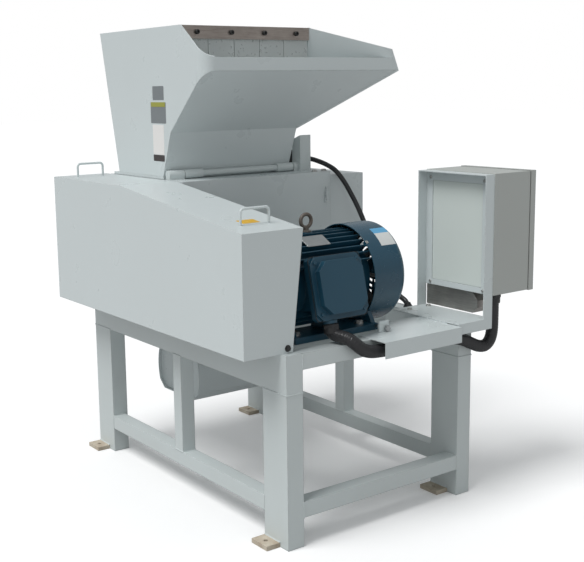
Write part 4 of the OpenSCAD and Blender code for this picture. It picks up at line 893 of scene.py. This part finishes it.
class GranulatorPlates(bpy.types.Operator):
    """Add the bare plates on the hopper and the guard, and the door's trim"""

    bl_idname = "granulator.plates"
    bl_label = "Bare plates and door trim"

    def execute(self, context):
        left, up = (0, -1, 0), (0, 0, 1)
        for name, y, z, width, height, material in (
            ("hopper_plate_upper", 846, 1356, 0.076, 0.048, "Grey film"),
            ("hopper_plate_middle", 848, 1288, 0.103, 0.073, "Grey film"),
            ("hopper_plate_lower", 851, 1194, 0.076, 0.104, "White film"),
            ("hopper_plate_foot", 851, 1130, 0.076, 0.022, "Dark film"),
            ("hopper_plate_header", 848, 1316.5, 0.097, 0.016, "Olive film"),
        ):
            bm = bmesh.new()
            lift = 0.0005 if name.endswith("header") else 0.0
            plate(bm, at(HOPPER_X0, y, z), left, up, width, height, 0.0006, 0.003, lift)
            piece(name, bm, "hopper", finish(material))
        bm = bmesh.new()
        slope = (at(0, 729, COVER_TOP_Z) - at(0, 27, 966)).normalized()
        plate(bm, at(-22, 150, 966 + 89 * 123 / 702), (1, 0, 0), slope, 0.062, 0.040, 0.0006, 0.003)
        piece("guard_film", bm, "guard", finish("Signal yellow"))
        self.round_lip_corner()
        bm = bmesh.new()
        plate(bm, at(810.5, 108.5, 874), left, up, 0.226, 0.343, 0.002, 0.001)
        piece("bracket_panel", bm, "base", finish("Panel paint"))
        self.trim_door()
        self.add_latch()
        return {"FINISHED"}

    def round_lip_corner(self):
        """The lower end of the lip's rounded corner, down to the feed plate."""
        bm = bmesh.new()
        columns = []
        for k in range(19):
            angle = math.radians(180 + 5 * k)
            y = 594 + 45 * math.sin(angle)
            low = 1425 - 205 * (y - 549) / 219.5
            columns.append([
                bm.verts.new(at(137 + r * math.cos(angle), 594 + r * math.sin(angle), z))
                for r, z in ((45, low), (45, 1426), (41, 1426), (41, low))
            ])
        for a, b in zip(columns, columns[1:]):
            for k in range(4):
                n = (k + 1) % 4
                bm.faces.new((a[k], a[n], b[n], b[k]))
        bm.faces.new(columns[0])
        bm.faces.new(columns[-1][::-1])
        piece("lip_corner_foot", bm, "hopper", finish("Sheet paint"), sharp=math.radians(50))

    def trim_door(self):
        """Lamps, rings and the seal of the cabinet door."""
        bm = bmesh.new()
        outline = [at(1001.2, 100.5, 882) + Vector((0, u, v)) for u, v in rounded_outline(0.302, 0.390, 0.012)]
        sweep(bm, outline, [0.0024] * len(outline), 8, closed=True)
        piece("door_seal", bm, "door", finish("Seal rubber"))
        bm = bmesh.new()
        for y, radius, lift in ((150, 0.0152, 0.0034), (100, 0.0152, 0.0034), (35, 0.0172, 0.0026)):
            lathe(bm, [(radius + 0.0018, -0.0002), (radius + 0.0018, lift - 0.0012), (radius + 0.0004, lift),
                       (radius, lift)], at(DOOR_FACE_X, y, 935), (1, 0, 0), 40)
        piece("button_rings", bm, "door", finish("Zinc screws"))
        bm = bmesh.new()
        plate(bm, at(DOOR_FACE_X, 35, 935), (0, 1, 0), (0, 0, 1), 0.060, 0.060, 0.0010, 0.0299)
        piece("emergency_ring", bm, "door", finish("Signal yellow"))
        bm = bmesh.new()
        for y in (170, 140):
            lathe(bm, [(0.011, -0.0003), (0.011, 0.004), (0.0095, 0.005), (0.0095, 0.010), (0.006, 0.0135),
                       (0, 0.0145)], at(DOOR_FACE_X, y, 1020), (1, 0, 0), 36)
        piece("signal_lamps", bm, "door", finish("Pale film"))

    def add_latch(self):
        """The small hook that hangs on the chamber's front cover."""
        bm = bmesh.new()
        plate(bm, at(720, 697, 950), (1, 0, 0), (0, 0, 1), 0.016, 0.024, 0.006, 0.003)
        lathe(bm, [(0.0045, -0.012), (0.0050, -0.010), (0.0050, 0.018), (0.0040, 0.020), (0, 0.020)],
              at(720, 690, 962), (0, 0, 1), 20)
        hook = smooth_route([at(720, 690, 975), at(720, 689, 985), at(720, 691, 993), at(720, 697, 996)], 5)
        sweep(bm, hook, [0.0022] * len(hook), 12)
        piece("cover_latch", bm, "base", finish("Sheet paint"))


class GranulatorWelds(bpy.types.Operator):
    """Lay the weld beads of the stand"""

    bl_idname = "granulator.welds"
    bl_label = "Weld beads"

    def execute(self, context):
        radius = context.scene.granulator.sizes.bead_radius
        bm = bmesh.new()
        for x in (0, 710):
            for y in (0, 1100):
                seam_round(bm, (x, y, 480), (LEG_X, 0, 0), (0, LEG_Y, 0), radius)
        for x in (0, 720):
            for z in (480, RAIL_Z + TUBE):
                seam_round(bm, (x, 594, z), (TUBE, 0, 0), (0, TUBE, 0), radius)
            for y in (120, 1100):
                seam_round(bm, (x, y, RAIL_Z), (TUBE, 0, 0), (0, 0, TUBE), radius)
        for x in (60, 710):
            seam_round(bm, (x, 0, RAIL_Z), (0, TUBE, 0), (0, 0, TUBE), radius)
            for y in (0, 100, 356, 1170):
                corners = ((y, TABLE_Z), (y, TABLE_Z - TUBE), (y + TUBE, TABLE_Z - TUBE), (y + TUBE, TABLE_Z))
                bead(bm, [at(x, *corner) for corner in corners], radius, closed=False)
        for x in (0, 710):
            for y in (41, 1141):
                bead(bm, [at(x, y, 14), at(x, y + 79, 14)], radius * 1.2, closed=False)
        piece("stand_welds", bm, "base", finish("Weld paint"), sharp=math.radians(60))
        bm = bmesh.new()
        seam_z = COVER_TOP_Z + 0.5
        seam_round(bm, (663, 778, seam_z), (TUBE, 0, 0), (0, TUBE, 0), radius)
        for x0, x1 in ((96, 158), (642, 663)):
            bead(bm, [at(x0, 790.5, seam_z), at(x1, 790.5, seam_z)], radius, closed=False)
        piece("chamber_welds", bm, "base", finish("Weld paint"), sharp=math.radians(60))
        bm = bmesh.new()
        bead(bm, [at(HOPPER_X0, 826, 1065.5), at(HOPPER_X1, 826, 1065.5)], radius, closed=False)
        bead(bm, [at(HOPPER_X1, 769, 1220), at(HOPPER_X1, 685, 1578)], radius * 0.8, closed=False)
        piece("hopper_welds", bm, "hopper", finish("Weld paint"), sharp=math.radians(60))
        return {"FINISHED"}


class GranulatorPanel(bpy.types.Panel):
    """Lists the dresser's steps and settings"""

    bl_idname = "VIEW3D_PT_granulator"
    bl_label = "Granulator"
    bl_space_type = "VIEW_3D"
    bl_region_type = "UI"
    bl_category = "Granulator"

    def draw(self, context):
        settings = context.scene.granulator
        for operator in STEPS:
            self.layout.operator(operator.bl_idname)
        for group in (settings.colours, settings.sizes):
            for name in group.__annotations__:
                self.layout.prop(group, name)


STEPS = (GranulatorStage, GranulatorPaint, GranulatorHoses, GranulatorMotorTrim, GranulatorFasteners,
         GranulatorPlates, GranulatorWelds)
CLASSES = (GranulatorColours, GranulatorSizes, GranulatorSettings, *STEPS, GranulatorPanel)


def register():
    for cls in CLASSES:
        bpy.utils.register_class(cls)
    bpy.types.Scene.granulator = PointerProperty(type=GranulatorSettings)


def unregister():
    del bpy.types.Scene.granulator
    for cls in reversed(CLASSES):
        bpy.utils.unregister_class(cls)


def main():
    register()
    bpy.ops.granulator.stage()
    bpy.ops.granulator.paint()
    bpy.ops.granulator.hoses()
    bpy.ops.granulator.motor_trim()
    bpy.ops.granulator.fasteners()
    bpy.ops.granulator.plates()
    bpy.ops.granulator.welds()


if __name__ == "__main__":
    main()
